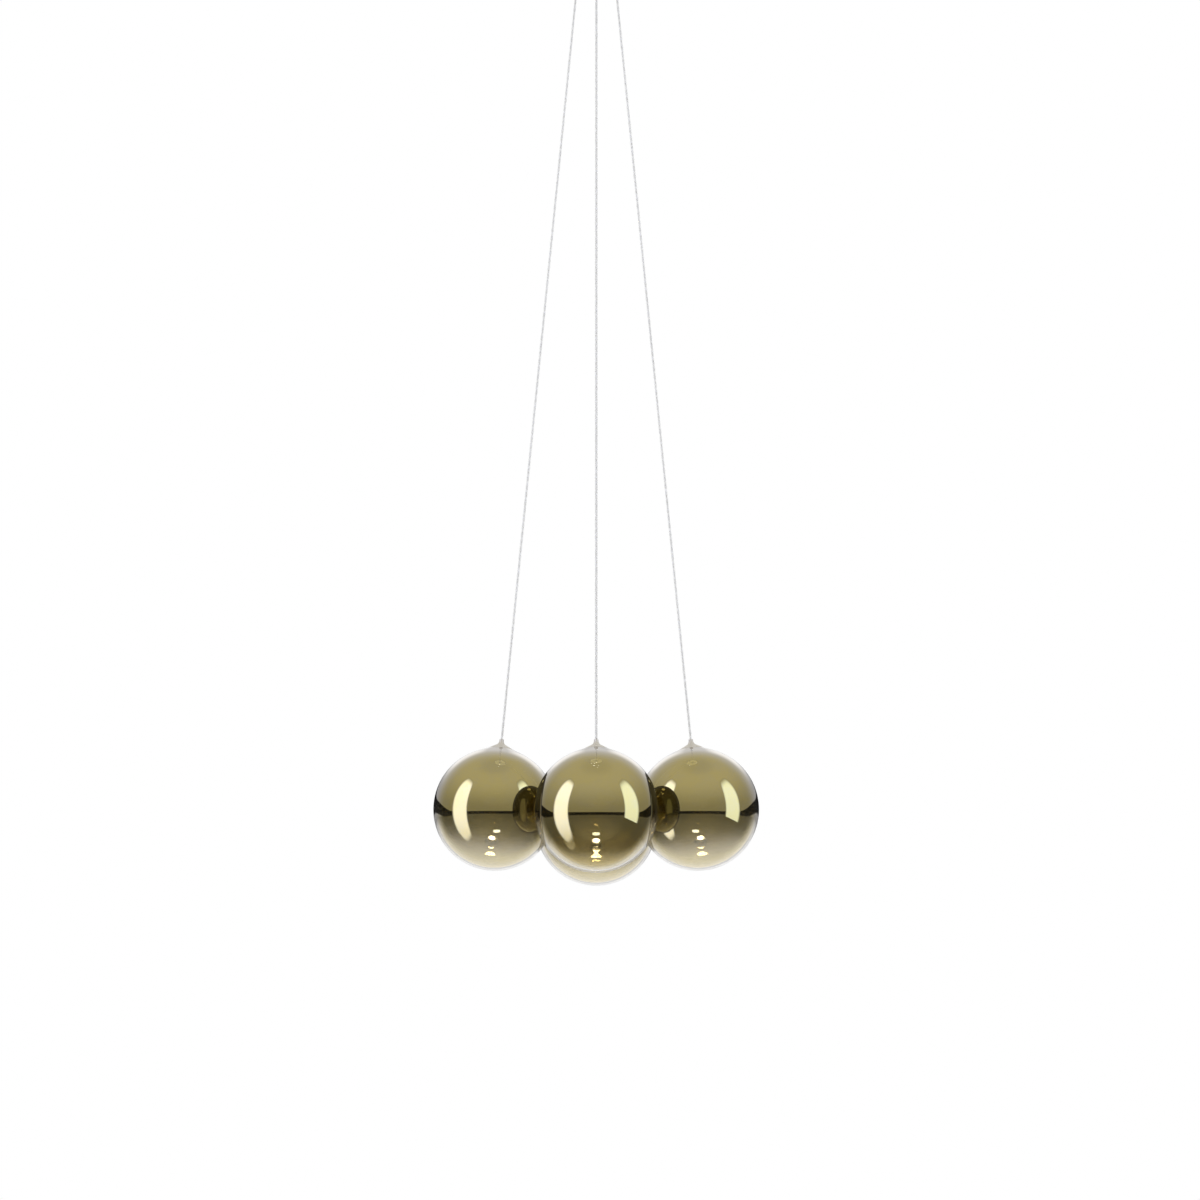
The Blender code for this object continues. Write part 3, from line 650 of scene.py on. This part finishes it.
def round_line(name, points, diameter, resolution):
    """A round bar along some points."""
    curve = bpy.data.curves.new(name, "CURVE")
    curve.dimensions = "3D"
    curve.bevel_depth = diameter / 2
    curve.bevel_resolution = resolution
    curve.use_fill_caps = True
    spline = curve.splines.new("POLY")
    spline.points.add(len(points) - 1)
    for spot, point in zip(spline.points, points):
        spot.co = (*point, 1.0)
    spline.use_smooth = True
    return curve


clear_sheath = plain("clear cable sheath", SHEATH_CLEAR, metallic=0.0, roughness=0.12, Alpha=0.2, IOR=1.46)
sheath_spot = node(clear_sheath, "ShaderNodeTexCoord").outputs["Object"]
sheath_haze = node(clear_sheath, "ShaderNodeTexNoise", Vector=sheath_spot, Scale=420.0, Detail=3.0)
sheath_gloss = node(clear_sheath, "ShaderNodeMapRange", Value=sheath_haze.outputs["Fac"], To_Min=0.08,
                    To_Max=0.2)
feed(clear_sheath, "Roughness", sheath_gloss.outputs["Result"])
leads = mottled("silvery leads", (LEAD_SILVER, LEAD_DULL), metallic=0.25, roughness=0.35, patch=400.0,
                grain=1800.0, relief=0.00001, stretch=(1, 1, 0.2))
for lamp in LAMPS:
    low, high = span(lamp, "cable")[:2]
    drop = [high + (low - high) * step / (CABLE_POINTS - 1) for step in range(CABLE_POINTS)]
    run = [PLACES[lamp] @ Vector((0.0, 0.0, height)) for height in drop]
    for hand, start in (("a", 0.0), ("b", pi)):
        coil = []
        for step in range(int((high - low) / LEAD_PITCH * LEAD_STEPS) + 1):
            angle = start + 2 * pi * step / LEAD_STEPS
            height = high - LEAD_PITCH * step / LEAD_STEPS
            coil.append(PLACES[lamp] @ Vector((LEAD_OFFSET * cos(angle), LEAD_OFFSET * sin(angle), height)))
        lead = round_line("lead", coil, LEAD_DIAMETER, resolution=1)
        place_piece(f"{lamp}_lead_{hand}", lead, leads, lamp + "_lamp", None)
    sheath = round_line("sheath", run, CABLE_DIAMETER, resolution=5)
    cable = place_piece(lamp + "_sheath", sheath, clear_sheath, lamp + "_lamp", lamp + "_cable")

# Caps: small trumpets turned from aluminium and satin finished. Each carries the cable in its tip, plugs the
# neck of the glass with a spigot, and runs out over its seal to a thin edge on the glass.
TURNED_SIDES = 96
CAP_STEPS = 28
CAP_LIP = 0.001
CAP_EDGE = 0.0001
CAP_TIP_WALL = 0.0007
FLARE_RADIUS = 0.0065
FLARE_DROP = 0.0063
TIP_DROP = 0.0074
CABLE_SEAT = 0.004
WIRE_RADIUS = 0.0008
SPIGOT_RADIUS = 0.0094
SOCKET_RADIUS = 0.0033
SOCKET_DEPTH = 0.0035
SEAL_SPACE = 0.00015
CLEAR = 0.00002
SHOULDER = radians(21.5)
SATIN_SILVER = (0.72, 0.675, 0.585)
low, high, cap_radius = span("left", "cap")
tip_bore = CABLE_DIAMETER / 2 + HOLE_PLAY
tip_radius = tip_bore + CAP_TIP_WALL
lip_radius = cap_radius + CAP_LIP


def on_glass(radius, lift=0.0):
    """A point on the drawn-out top of the glass, or a little above it."""
    return radius, GLOBE_RADIUS / cos(SHOULDER) - tan(SHOULDER) * radius + lift


def place_each(name, mesh, material, stands_for):
    """The same piece on each of the four lamps."""
    for lamp in LAMPS:
        place_piece(f"{lamp}_{name}", mesh, material, lamp + "_lamp", f"{lamp}_{stands_for}",
                    PLACES[lamp])


flare = [on_glass(lip_radius, CAP_EDGE), (FLARE_RADIUS, high - FLARE_DROP), (tip_radius, high - TIP_DROP),
         (tip_radius, high)]
trumpet = interpolate_bezier(*(Vector(point) for point in flare), CAP_STEPS)
cap_mesh = turned("cap", [
    (tip_bore, high),
    (tip_bore, high - CABLE_SEAT),
    (WIRE_RADIUS, high - CABLE_SEAT),
    (WIRE_RADIUS, low + SOCKET_DEPTH),
    (SOCKET_RADIUS, low + SOCKET_DEPTH),
    (SOCKET_RADIUS, low),
    (SPIGOT_RADIUS, low),
    on_glass(SPIGOT_RADIUS, SEAL_SPACE),
    on_glass(cap_radius, SEAL_SPACE),
    on_glass(cap_radius, CLEAR),
    on_glass(lip_radius, CLEAR),
    *trumpet,
], TURNED_SIDES, closed=True)
satin_silver = turned_finish("satin silver", SATIN_SILVER, roughness=0.45, rings=5200.0, metallic=0.4)
place_each("trumpet_cap", cap_mesh, satin_silver, "cap")

# Gaskets: thin rings of translucent silicone, cut from sheet. Each lies round the neck hole and is squeezed
# flat between the glass and the cap.
NECK_RADIUS = 0.010
SILICONE = (0.74, 0.72, 0.70)
SILICONE_SHADE = (0.66, 0.64, 0.62)
gasket_inner = NECK_RADIUS + HOLE_PLAY
gasket_outer = cap_radius - CLEAR
gasket_mesh = turned("gasket", eased([
    on_glass(gasket_inner, CLEAR),
    on_glass(gasket_outer, CLEAR),
    on_glass(gasket_outer, SEAL_SPACE - CLEAR),
    on_glass(gasket_inner, SEAL_SPACE - CLEAR),
], CLEAR, closed=True), TURNED_SIDES, closed=True)
silicone = mottled("translucent silicone", (SILICONE, SILICONE_SHADE), metallic=0.0, roughness=0.45,
                   patch=200.0, grain=1500.0, relief=0.00002, Alpha=0.85)
place_each("silicone_ring", gasket_mesh, silicone, "gasket")

# Stems, toggle bars and lock nuts: a threaded steel tube screws into the cap, and a brass nut on it pulls a
# steel bar up against the inside of the glass, so the globe is clamped between bar and cap.
STEM_BORE = 0.0018
STEM_PITCH = 0.001
STEM_THREAD = 0.0003
TOGGLE_HALF = 0.015
TOGGLE_SIDE = 0.0045
TOGGLE_ROUND = 0.0015
low, high, stem_radius = span("left", "stem")
thread = []
height = low + STEM_PITCH / 2
while height < high - STEM_PITCH:
    thread += [(stem_radius, height), (stem_radius - STEM_THREAD, height + STEM_PITCH / 2)]
    height += STEM_PITCH
stem_mesh = turned("stem", [(STEM_BORE, high), (STEM_BORE, low), (stem_radius - STEM_THREAD, low), *thread,
                            (stem_radius - STEM_THREAD, high)], HOLE_SIDES, closed=True)
low, high = span("left", "toggle")[:2]
corner_x = TOGGLE_HALF - TOGGLE_ROUND
corner_y = TOGGLE_SIDE - TOGGLE_ROUND
toggle_outline = [
    *arc(corner_x, -corner_y, TOGGLE_ROUND, -pi / 2, 0.0),
    *arc(corner_x, corner_y, TOGGLE_ROUND, 0.0, pi / 2),
    *arc(-corner_x, corner_y, TOGGLE_ROUND, pi / 2, pi),
    *arc(-corner_x, -corner_y, TOGGLE_ROUND, pi, 3 * pi / 2),
]
toggle_bm = bmesh.new()
add_prism(toggle_bm, toggle_outline, low, high, HOLE_BREAK)
toggle_cuts = bmesh.new()
add_drill(toggle_cuts, stem_radius + HOLE_PLAY, low, high, Matrix.Identity(4))
toggle_mesh = bored(closed_mesh(toggle_bm, "toggle"), closed_mesh(toggle_cuts, "toggle_cuts"))
low, high, nut_corner = span("left", "lock_nut")
lock_nut = hex_nut("lock_nut", nut_corner * cos(pi / 6), stem_radius + HOLE_PLAY, low, high)
place_each("threaded_stem", stem_mesh, zinc, "stem")
place_each("toggle_bar", toggle_mesh, zinc, "toggle")
place_each("brass_lock_nut", lock_nut, brass, "lock_nut")

# Heat sinks: short aluminium turnings with ring fins, just slim enough to pass the neck of the glass. Each
# screws onto the end of its stem and carries the light board.
FIN_COUNT = 2
FIN_DEPTH = 0.0028
FIN_SHARE = 0.5
FIN_EDGE = 0.0003
SINK_SOCKET = 0.005
ALUMINIUM = (0.80, 0.80, 0.81)
low, high, sink_radius = span("left", "heat_sink")
pitch = (high - low) / (FIN_COUNT + FIN_SHARE)
sink_core = sink_radius - FIN_DEPTH
sink_profile = [(0.0, high - SINK_SOCKET), (SOCKET_RADIUS, high - SINK_SOCKET), (SOCKET_RADIUS, high)]
for fin in range(FIN_COUNT):
    fin_top = high - fin * pitch
    sink_profile += [(sink_radius, fin_top), (sink_radius, fin_top - FIN_SHARE * pitch),
                     (sink_core, fin_top - FIN_SHARE * pitch), (sink_core, fin_top - pitch)]
sink_profile += [(sink_radius, high - FIN_COUNT * pitch), (sink_radius, low), (0.0, low)]
sink_mesh = turned("sink", eased(sink_profile, FIN_EDGE), TURNED_SIDES)
aluminium = turned_finish("turned aluminium", ALUMINIUM, roughness=0.3, rings=3600.0)
place_each("finned_sink", sink_mesh, aluminium, "heat_sink")

# Light boards: discs of white coated laminate, glued to the sinks so that their heat can leave. A round chip
# under yellow phosphor stands in the middle.
BOARD_EDGE = 0.00015
CHIP_RADIUS = 0.003
CHIP_HEIGHT = 0.0008
BOARD_WHITE = (0.86, 0.85, 0.81)
BOARD_SHADE = (0.82, 0.81, 0.76)
PHOSPHOR = (0.86, 0.68, 0.16)
PHOSPHOR_PALE = (0.90, 0.76, 0.30)
low, high, board_radius = span("left", "led_board")
board_face = low + CHIP_HEIGHT
board_mesh = turned("board", eased([
    (0.0, high),
    (board_radius, high),
    (board_radius, board_face),
    (CHIP_RADIUS, board_face),
    (CHIP_RADIUS, low),
    (0.0, low),
], BOARD_EDGE), TURNED_SIDES)
board_coat = mottled("white board coat", (BOARD_WHITE, BOARD_SHADE), metallic=0.0, roughness=0.4,
                     patch=400.0, grain=2600.0, relief=0.00002)
phosphor = mottled("yellow chip", (PHOSPHOR, PHOSPHOR_PALE), metallic=0.0, roughness=0.5, patch=900.0,
                   grain=3600.0, relief=0.00002)
board_mesh.materials.append(board_coat)
board_mesh.materials.append(phosphor)
for face in board_mesh.polygons:
    face.material_index = int(face.center.xy.length < CHIP_RADIUS and face.center.z < board_face)
place_each("chip_board", board_mesh, board_coat, "led_board")

# Lenses: small frosted domes over the chips, lit warm white. Only their light is seen, as a column of
# reflections in the lower half of each globe.
LIT_WHITE = (1.0, 0.98, 0.95)
LIT_STRENGTH = 45.0
LENS_WHITE = (0.95, 0.92, 0.85)
LENS_FROST = (0.90, 0.87, 0.80)
LENS_STEPS = 16
LENS_FLANGE = 0.0016
low, high, lens_radius = span("left", "lens")
flange = high - LENS_FLANGE
lens_profile = [(0.0, high - CHIP_HEIGHT), (SOCKET_RADIUS, high - CHIP_HEIGHT), (SOCKET_RADIUS, high),
                (lens_radius, high)]
for step in range(LENS_STEPS + 1):
    angle = pi / 2 * step / LENS_STEPS
    lens_profile.append((lens_radius * cos(angle), flange - (flange - low) * sin(angle)))
lens_profile[-1] = (0.0, low)
lens_mesh = turned("lens", lens_profile, TURNED_SIDES)
lit_lens = mottled("lit frosted lens", (LENS_WHITE, LENS_FROST), metallic=0.0, roughness=0.45, patch=500.0,
                   grain=3000.0, relief=0.00003, Emission_Color=(*LIT_WHITE, 1.0),
                   Emission_Strength=LIT_STRENGTH)
place_each("lit_lens", lens_mesh, lit_lens, "lens")

# Globes: blown amber glass, drawn out at the top into a short cone with the neck hole ground through it. A
# vacuum coated gold film covers them, a full mirror above the middle that thins out towards the bottom.
GLOBE_SIDES = 128
GLOBE_STEPS = 72
GLOBE_WALL = 0.0022
INNER_SHOULDER = radians(24.5)
GOLD_FILM = (0.64, 0.52, 0.175)
EDGE_SILVER = (0.93, 0.88, 0.84)
INSIDE_PALE = (0.66, 0.635, 0.55)
AMBER = (0.985, 0.915, 0.71)
FILM_COVER = ((-1.0, 0.30), (-0.75, 0.38), (-0.6, 0.43), (-0.42, 0.76), (-0.25, 0.88), (0.0, 0.95),
              (0.12, 1.0))


def glass_arc(radius, shoulder):
    """From the bottom of the globe up to the shoulder."""
    steps = [pi + (shoulder - pi) * step / GLOBE_STEPS for step in range(GLOBE_STEPS + 1)]
    return [(radius * sin(polar), radius * cos(polar)) for polar in steps]


globe_inner = GLOBE_RADIUS - GLOBE_WALL
neck_low = globe_inner / cos(INNER_SHOULDER) - tan(INNER_SHOULDER) * NECK_RADIUS
globe_profile = glass_arc(GLOBE_RADIUS, SHOULDER) + [on_glass(NECK_RADIUS), (NECK_RADIUS, neck_low)]
globe_profile += glass_arc(globe_inner, INNER_SHOULDER)[::-1]
globe_profile[0] = (0.0, -GLOBE_RADIUS)
globe_profile[-1] = (0.0, -globe_inner)
globe_mesh = turned("globe", globe_profile, GLOBE_SIDES)

gold_film = plain("gold film on glass", GOLD_FILM, metallic=1.0, roughness=0.015, Coat_Weight=0.25,
                  Coat_Roughness=0.01)
film_spot = node(gold_film, "ShaderNodeTexCoord").outputs["Object"]
film_height = node(gold_film, "ShaderNodeSeparateXYZ", Vector=film_spot).outputs["Z"]
film_share = node(gold_film, "ShaderNodeMapRange", Value=film_height, From_Min=-GLOBE_RADIUS,
                  From_Max=GLOBE_RADIUS)
film_ramp = node(gold_film, "ShaderNodeValToRGB", Fac=film_share.outputs["Result"])
film_ramp.color_ramp.interpolation = "B_SPLINE"
film_stops = film_ramp.color_ramp.elements
for index, (height, cover) in enumerate(FILM_COVER):
    stop = film_stops[index] if index < 2 else film_stops.new((height + 1) / 2)
    stop.position = (height + 1) / 2
    stop.color = (cover, cover, cover, 1.0)
feed(gold_film, "Alpha", film_ramp.outputs["Color"])
film_haze = node(gold_film, "ShaderNodeTexNoise", Vector=film_spot, Scale=40.0, Detail=5.0)
film_gloss = node(gold_film, "ShaderNodeMapRange", Value=film_haze.outputs["Fac"], To_Min=0.008, To_Max=0.024)
feed(gold_film, "Roughness", film_gloss.outputs["Result"])
edge_on = node(gold_film, "ShaderNodeLayerWeight", Blend=0.5)
edge_share = node(gold_film, "ShaderNodeMapRange", Value=edge_on.outputs["Facing"], From_Min=0.42,
                  From_Max=0.8, To_Max=0.85)
edge_share.interpolation_type = "SMOOTHSTEP"
film_outside = between(gold_film, edge_share.outputs["Result"], GOLD_FILM, EDGE_SILVER)
film_inside = node(gold_film, "ShaderNodeNewGeometry").outputs["Backfacing"]
feed(gold_film, "Base Color", between(gold_film, film_inside, film_outside, INSIDE_PALE))

amber_glass = plain("amber inside of the glass", AMBER, metallic=0.0, roughness=0.0, Transmission_Weight=1.0,
                    IOR=1.02)
globe_mesh.materials.append(gold_film)
globe_mesh.materials.append(amber_glass)
for face in globe_mesh.polygons:
    face.material_index = int(face.normal.dot(face.center) < 0.0)
place_each("gold_globe", globe_mesh, gold_film, "globe")

# Studio: a white sweep behind, a dim room in front and plain soft light all round. Two tall softboxes at the
# sides and a small low lamp in front show only in what is polished.
EVEN_LIGHT = 0.92
ROOM_TILT = radians(6.34)
WALL_LEVEL = 0.33
CEILING_LEVEL = 0.58
CEILING_RISE = (0.0, 0.85)
CROWN_LEVEL = 0.52
CROWN_RISE = (0.9, 1.0)
HIGH_BEHIND_LEVEL = 0.6
HIGH_BEHIND_DEPTH = (0.5, 0.95)
HIGH_BEHIND_RISE = (0.15, 0.5)
DIM_LEVEL = 0.13
SWEEP_LEVEL = 0.95
SWEEP_DEPTH = (-0.35, 0.42)
SWEEP_NARROWING = -0.7
SWEEP_TOP = 0.58
SWEEP_TOP_DROP = -0.4
HORIZON = (-0.12, -0.1)
DARK_LEVEL = 0.015
DARK_TOP = (-0.065, -0.045)
DARK_TOP_LIFT = 0.155
DARK_TOP_DEPTH = (-0.2, 0.7)
DARK_LOW = (-0.155, -0.13)
DARK_LOW_LIFT = 0.11
DARK_LOW_DEPTH = (0.2, 0.9)
RIM_DEPTH = (0.68, 0.9)
RIM_RISE = (0.0, 0.2)
RIM_START = (0.4, 1.2)
RIM_END = (2.0, 6.0)
RIM_END_SHARE = -0.85
SECOND_SHARE = 0.12
SOFTBOX_AWAY = 6.0
SOFTBOX_OVER = 1.08
SOFTBOX_EDGE = (0.25, 1.3)
SOFTBOX_SQUARENESS = 4.0
LEFT_LIGHT = (1.85, 2.0, 3.05)
RIGHT_LIGHT = (1.45, 1.68, 2.3)
LOW_LAMP_AWAY = 1.5
LOW_LAMP_TIP = radians(43.1)
LOW_LAMP_HALVES = (0.17, 0.08)
LOW_LIGHT = (3.2, 3.5, 5.0)
world = bpy.data.worlds.new("studio")
bpy.context.scene.world = world
world.use_nodes = True
tree = world.node_tree
tree.nodes.clear()


def calc(where, operation, *values):
    """A Math node; inputs are numbers or outputs."""
    made = where.nodes.new("ShaderNodeMath")
    made.operation = operation
    for socket, value in zip(made.inputs, values):
        put(where, socket, value)
    return made.outputs[0]


def soft_step(where, value, start, end):
    """0 before start, 1 after end, smooth between."""
    made = where.nodes.new("ShaderNodeMapRange")
    made.interpolation_type = "SMOOTHSTEP"
    put(where, made.inputs["Value"], value)
    put(where, made.inputs["From Min"], start)
    put(where, made.inputs["From Max"], end)
    return made.outputs["Result"]


def shade(factor, first, second):
    """The world's level: first where factor is 0, second where it is 1."""
    return calc(tree, "MULTIPLY_ADD", factor, calc(tree, "SUBTRACT", second, first), first)


def times(first, second):
    """The product of two of the world's levels."""
    return calc(tree, "MULTIPLY", first, second)


def second_mirror(where):
    """1 for a ray that a second mirror has sent on, 0 for any other."""
    depth = where.nodes.new("ShaderNodeLightPath").outputs["Glossy Depth"]
    return calc(where, "GREATER_THAN", depth, 1.5)


axes = tree.nodes.new("ShaderNodeSeparateXYZ")
tree.links.new(tree.nodes.new("ShaderNodeTexCoord").outputs["Generated"], axes.inputs[0])
across = axes.outputs["X"]
beside_axis = calc(tree, "ABSOLUTE", across)
away = calc(tree, "MULTIPLY_ADD", axes.outputs["Y"], cos(ROOM_TILT), times(axes.outputs["Z"], sin(ROOM_TILT)))
up = calc(tree, "MULTIPLY_ADD", axes.outputs["Z"], cos(ROOM_TILT), times(axes.outputs["Y"], -sin(ROOM_TILT)))
above = shade(soft_step(tree, up, *CEILING_RISE), WALL_LEVEL, CEILING_LEVEL)
above = shade(soft_step(tree, up, *CROWN_RISE), above, CROWN_LEVEL)
high_behind = times(soft_step(tree, away, *HIGH_BEHIND_DEPTH), soft_step(tree, up, *HIGH_BEHIND_RISE))
above = shade(high_behind, above, HIGH_BEHIND_LEVEL)
sweep = soft_step(tree, calc(tree, "MULTIPLY_ADD", beside_axis, SWEEP_NARROWING, away), *SWEEP_DEPTH)
sweep_top = calc(tree, "MULTIPLY_ADD", away, SWEEP_TOP_DROP, SWEEP_TOP)
sweep = times(sweep, soft_step(tree, times(up, -1.0), 0.0, sweep_top))
below = shade(sweep, DIM_LEVEL, SWEEP_LEVEL)
room = shade(soft_step(tree, up, *HORIZON), below, above)
top_lift = times(soft_step(tree, away, *DARK_TOP_DEPTH), DARK_TOP_LIFT)
over_top = soft_step(tree, calc(tree, "SUBTRACT", up, top_lift), *DARK_TOP)
low_lift = times(soft_step(tree, away, *DARK_LOW_DEPTH), DARK_LOW_LIFT)
over_low = soft_step(tree, calc(tree, "SUBTRACT", up, low_lift), *DARK_LOW)
room = shade(times(calc(tree, "SUBTRACT", 1.0, over_top), over_low), room, DARK_LEVEL)
steep = calc(tree, "DIVIDE", calc(tree, "ABSOLUTE", up), beside_axis)
rim = calc(tree, "MULTIPLY_ADD", soft_step(tree, steep, *RIM_END), RIM_END_SHARE,
           soft_step(tree, steep, *RIM_START))
rim_behind = times(soft_step(tree, away, *RIM_DEPTH), rim)
room = shade(times(rim_behind, soft_step(tree, up, *RIM_RISE)), room, 1.0)
room = shade(second_mirror(tree), room, times(room, SECOND_SHARE))
ray = tree.nodes.new("ShaderNodeLightPath")
level = shade(ray.outputs["Is Glossy Ray"], EVEN_LIGHT, room)
straight = calc(tree, "MAXIMUM", ray.outputs["Is Camera Ray"], ray.outputs["Is Transmission Ray"])
level = shade(straight, level, 1.0)
sky = tree.nodes.new("ShaderNodeBackground")
sky.inputs["Color"].default_value = (1.0, 1.0, 1.0, 1.0)
tree.links.new(level, sky.inputs["Strength"])
world_out = tree.nodes.new("ShaderNodeOutputWorld")
tree.links.new(sky.outputs["Background"], world_out.inputs["Surface"])


def veil(material, shader, gone):
    """Shows a shader where gone is 0, and what lies behind it where gone is 1."""
    links = material.node_tree.links
    both = node(material, "ShaderNodeMixShader", Fac=gone)
    links.new(shader, both.inputs[1])
    links.new(node(material, "ShaderNodeBsdfTransparent").outputs["BSDF"], both.inputs[2])
    links.new(both.outputs["Shader"], material.node_tree.nodes["Material Output"].inputs["Surface"])


def stage_sheet(name, outline, material):
    """A flat sheet of the studio, which is no part of the lamp."""
    mesh = bpy.data.meshes.new(name)
    mesh.from_pydata([(x, y, 0.0) for x, y in outline], [], [(0, 1, 2, 3)])
    mesh.materials.append(material)
    sheet = bpy.data.objects.new(name, mesh)
    bpy.context.scene.collection.objects.link(sheet)
    return sheet


def softbox(name, matrix, lean, square_low, light):
    """A lit panel with soft rounded ends that leans to one side, seen in reflections only."""
    glow = bpy.data.materials.new(name)
    glow.use_nodes = True
    lamp_tree = glow.node_tree
    lamp_tree.nodes.remove(lamp_tree.nodes["Principled BSDF"])
    spot = node(glow, "ShaderNodeSeparateXYZ", Vector=node(glow, "ShaderNodeTexCoord").outputs["Object"])
    wide = calc(lamp_tree, "MULTIPLY_ADD", spot.outputs["Y"], -lean, spot.outputs["X"])
    tall = spot.outputs["Y"]
    if square_low:
        tall = calc(lamp_tree, "MULTIPLY_ADD", tall, 0.5, 0.5)
    sides, ends = (calc(lamp_tree, "POWER", calc(lamp_tree, "ABSOLUTE", way), SOFTBOX_SQUARENESS)
                   for way in (wide, tall))
    gone = soft_step(lamp_tree, calc(lamp_tree, "ADD", sides, ends), *SOFTBOX_EDGE)
    strength = calc(lamp_tree, "MULTIPLY", calc(lamp_tree, "SUBTRACT", 1.0, gone),
                    calc(lamp_tree, "MULTIPLY_ADD", second_mirror(lamp_tree), SECOND_SHARE - 1.0, 1.0))
    emission = node(glow, "ShaderNodeEmission", Color=(*light, 1.0), Strength=strength)
    veil(glow, emission.outputs["Emission"], gone)
    half = SOFTBOX_OVER + abs(lean)
    low = -1.0 if square_low else -SOFTBOX_OVER
    panel = stage_sheet(name, rectangle(-half, low, half, SOFTBOX_OVER), glow)
    panel.matrix_world = matrix
    panel.visible_camera = False
    panel.visible_diffuse = False
    panel.visible_transmission = False
    panel.visible_shadow = False


def side_panel(side, middle, half, low, high):
    """Where a softbox stands beside the globes; its sizes are shares of how far away it is."""
    stand = Vector((side, middle, (low + high) / 2)) * SOFTBOX_AWAY + globe_height
    wide = half * SOFTBOX_AWAY
    tall = (high - low) / 2 * SOFTBOX_AWAY
    return Matrix.Translation(stand) @ Matrix(((0, 0, 1, 0), (wide, 0, 0, 0), (0, tall, 0, 0), (0, 0, 0, 1)))


globe_height = Vector((0.0, 0.0, PLACES["left"].translation.z))
softbox("left_softbox", side_panel(-1, middle=-0.43, half=0.36, low=-1.3, high=1.2), lean=-0.5,
        square_low=False, light=LEFT_LIGHT)
softbox("right_softbox", side_panel(1, middle=-0.475, half=0.35, low=-0.33, high=1.15), lean=-0.25,
        square_low=True, light=RIGHT_LIGHT)
low_lamp_at = Vector((0.0, -sin(LOW_LAMP_TIP), -cos(LOW_LAMP_TIP))) * LOW_LAMP_AWAY + globe_height
low_lamp_turn = Matrix.Rotation(-LOW_LAMP_TIP, 4, "X") @ Matrix.Diagonal((*LOW_LAMP_HALVES, 1.0, 1.0))
softbox("low_lamp", Matrix.Translation(low_lamp_at) @ low_lamp_turn, lean=0.0, square_low=False,
        light=LOW_LIGHT)

# Floor: a pale sheet well below the lamp, out of the picture, that fades into the white sweep far off. Only
# its upper face is there, so the lamp can be looked at from underneath.
FLOOR_HEIGHT = -2.3
FLOOR_HALF = 12.0
FLOOR_FULL = 2.0
FLOOR_PALE = (0.95, 0.95, 0.95)
pale_floor = plain("pale floor", FLOOR_PALE, metallic=0.0, roughness=0.7, Specular_IOR_Level=0.0)
floor_away = away_from_axis(pale_floor, node(pale_floor, "ShaderNodeTexCoord").outputs["Object"])
far_off = soft_step(pale_floor.node_tree, floor_away, FLOOR_FULL, FLOOR_HALF)
under = node(pale_floor, "ShaderNodeNewGeometry").outputs["Backfacing"]
veil(pale_floor, pale_floor.node_tree.nodes["Principled BSDF"].outputs["BSDF"],
     calc(pale_floor.node_tree, "MAXIMUM", far_off, under))
floor = stage_sheet("floor", rectangle(-FLOOR_HALF, -FLOOR_HALF, FLOOR_HALF, FLOOR_HALF), pale_floor)
floor.location = (0.0, 0.0, FLOOR_HEIGHT)
floor.visible_glossy = False

# Finish: enough bounces for light to pass through several walls of glass, and plain colours.
GLASS_BOUNCES = 24
MIRROR_BOUNCES = 8
bpy.context.scene.cycles.max_bounces = GLASS_BOUNCES
bpy.context.scene.cycles.glossy_bounces = MIRROR_BOUNCES
bpy.context.scene.cycles.transmission_bounces = GLASS_BOUNCES
bpy.context.scene.cycles.transparent_max_bounces = GLASS_BOUNCES
bpy.context.scene.view_settings.view_transform = "Standard"
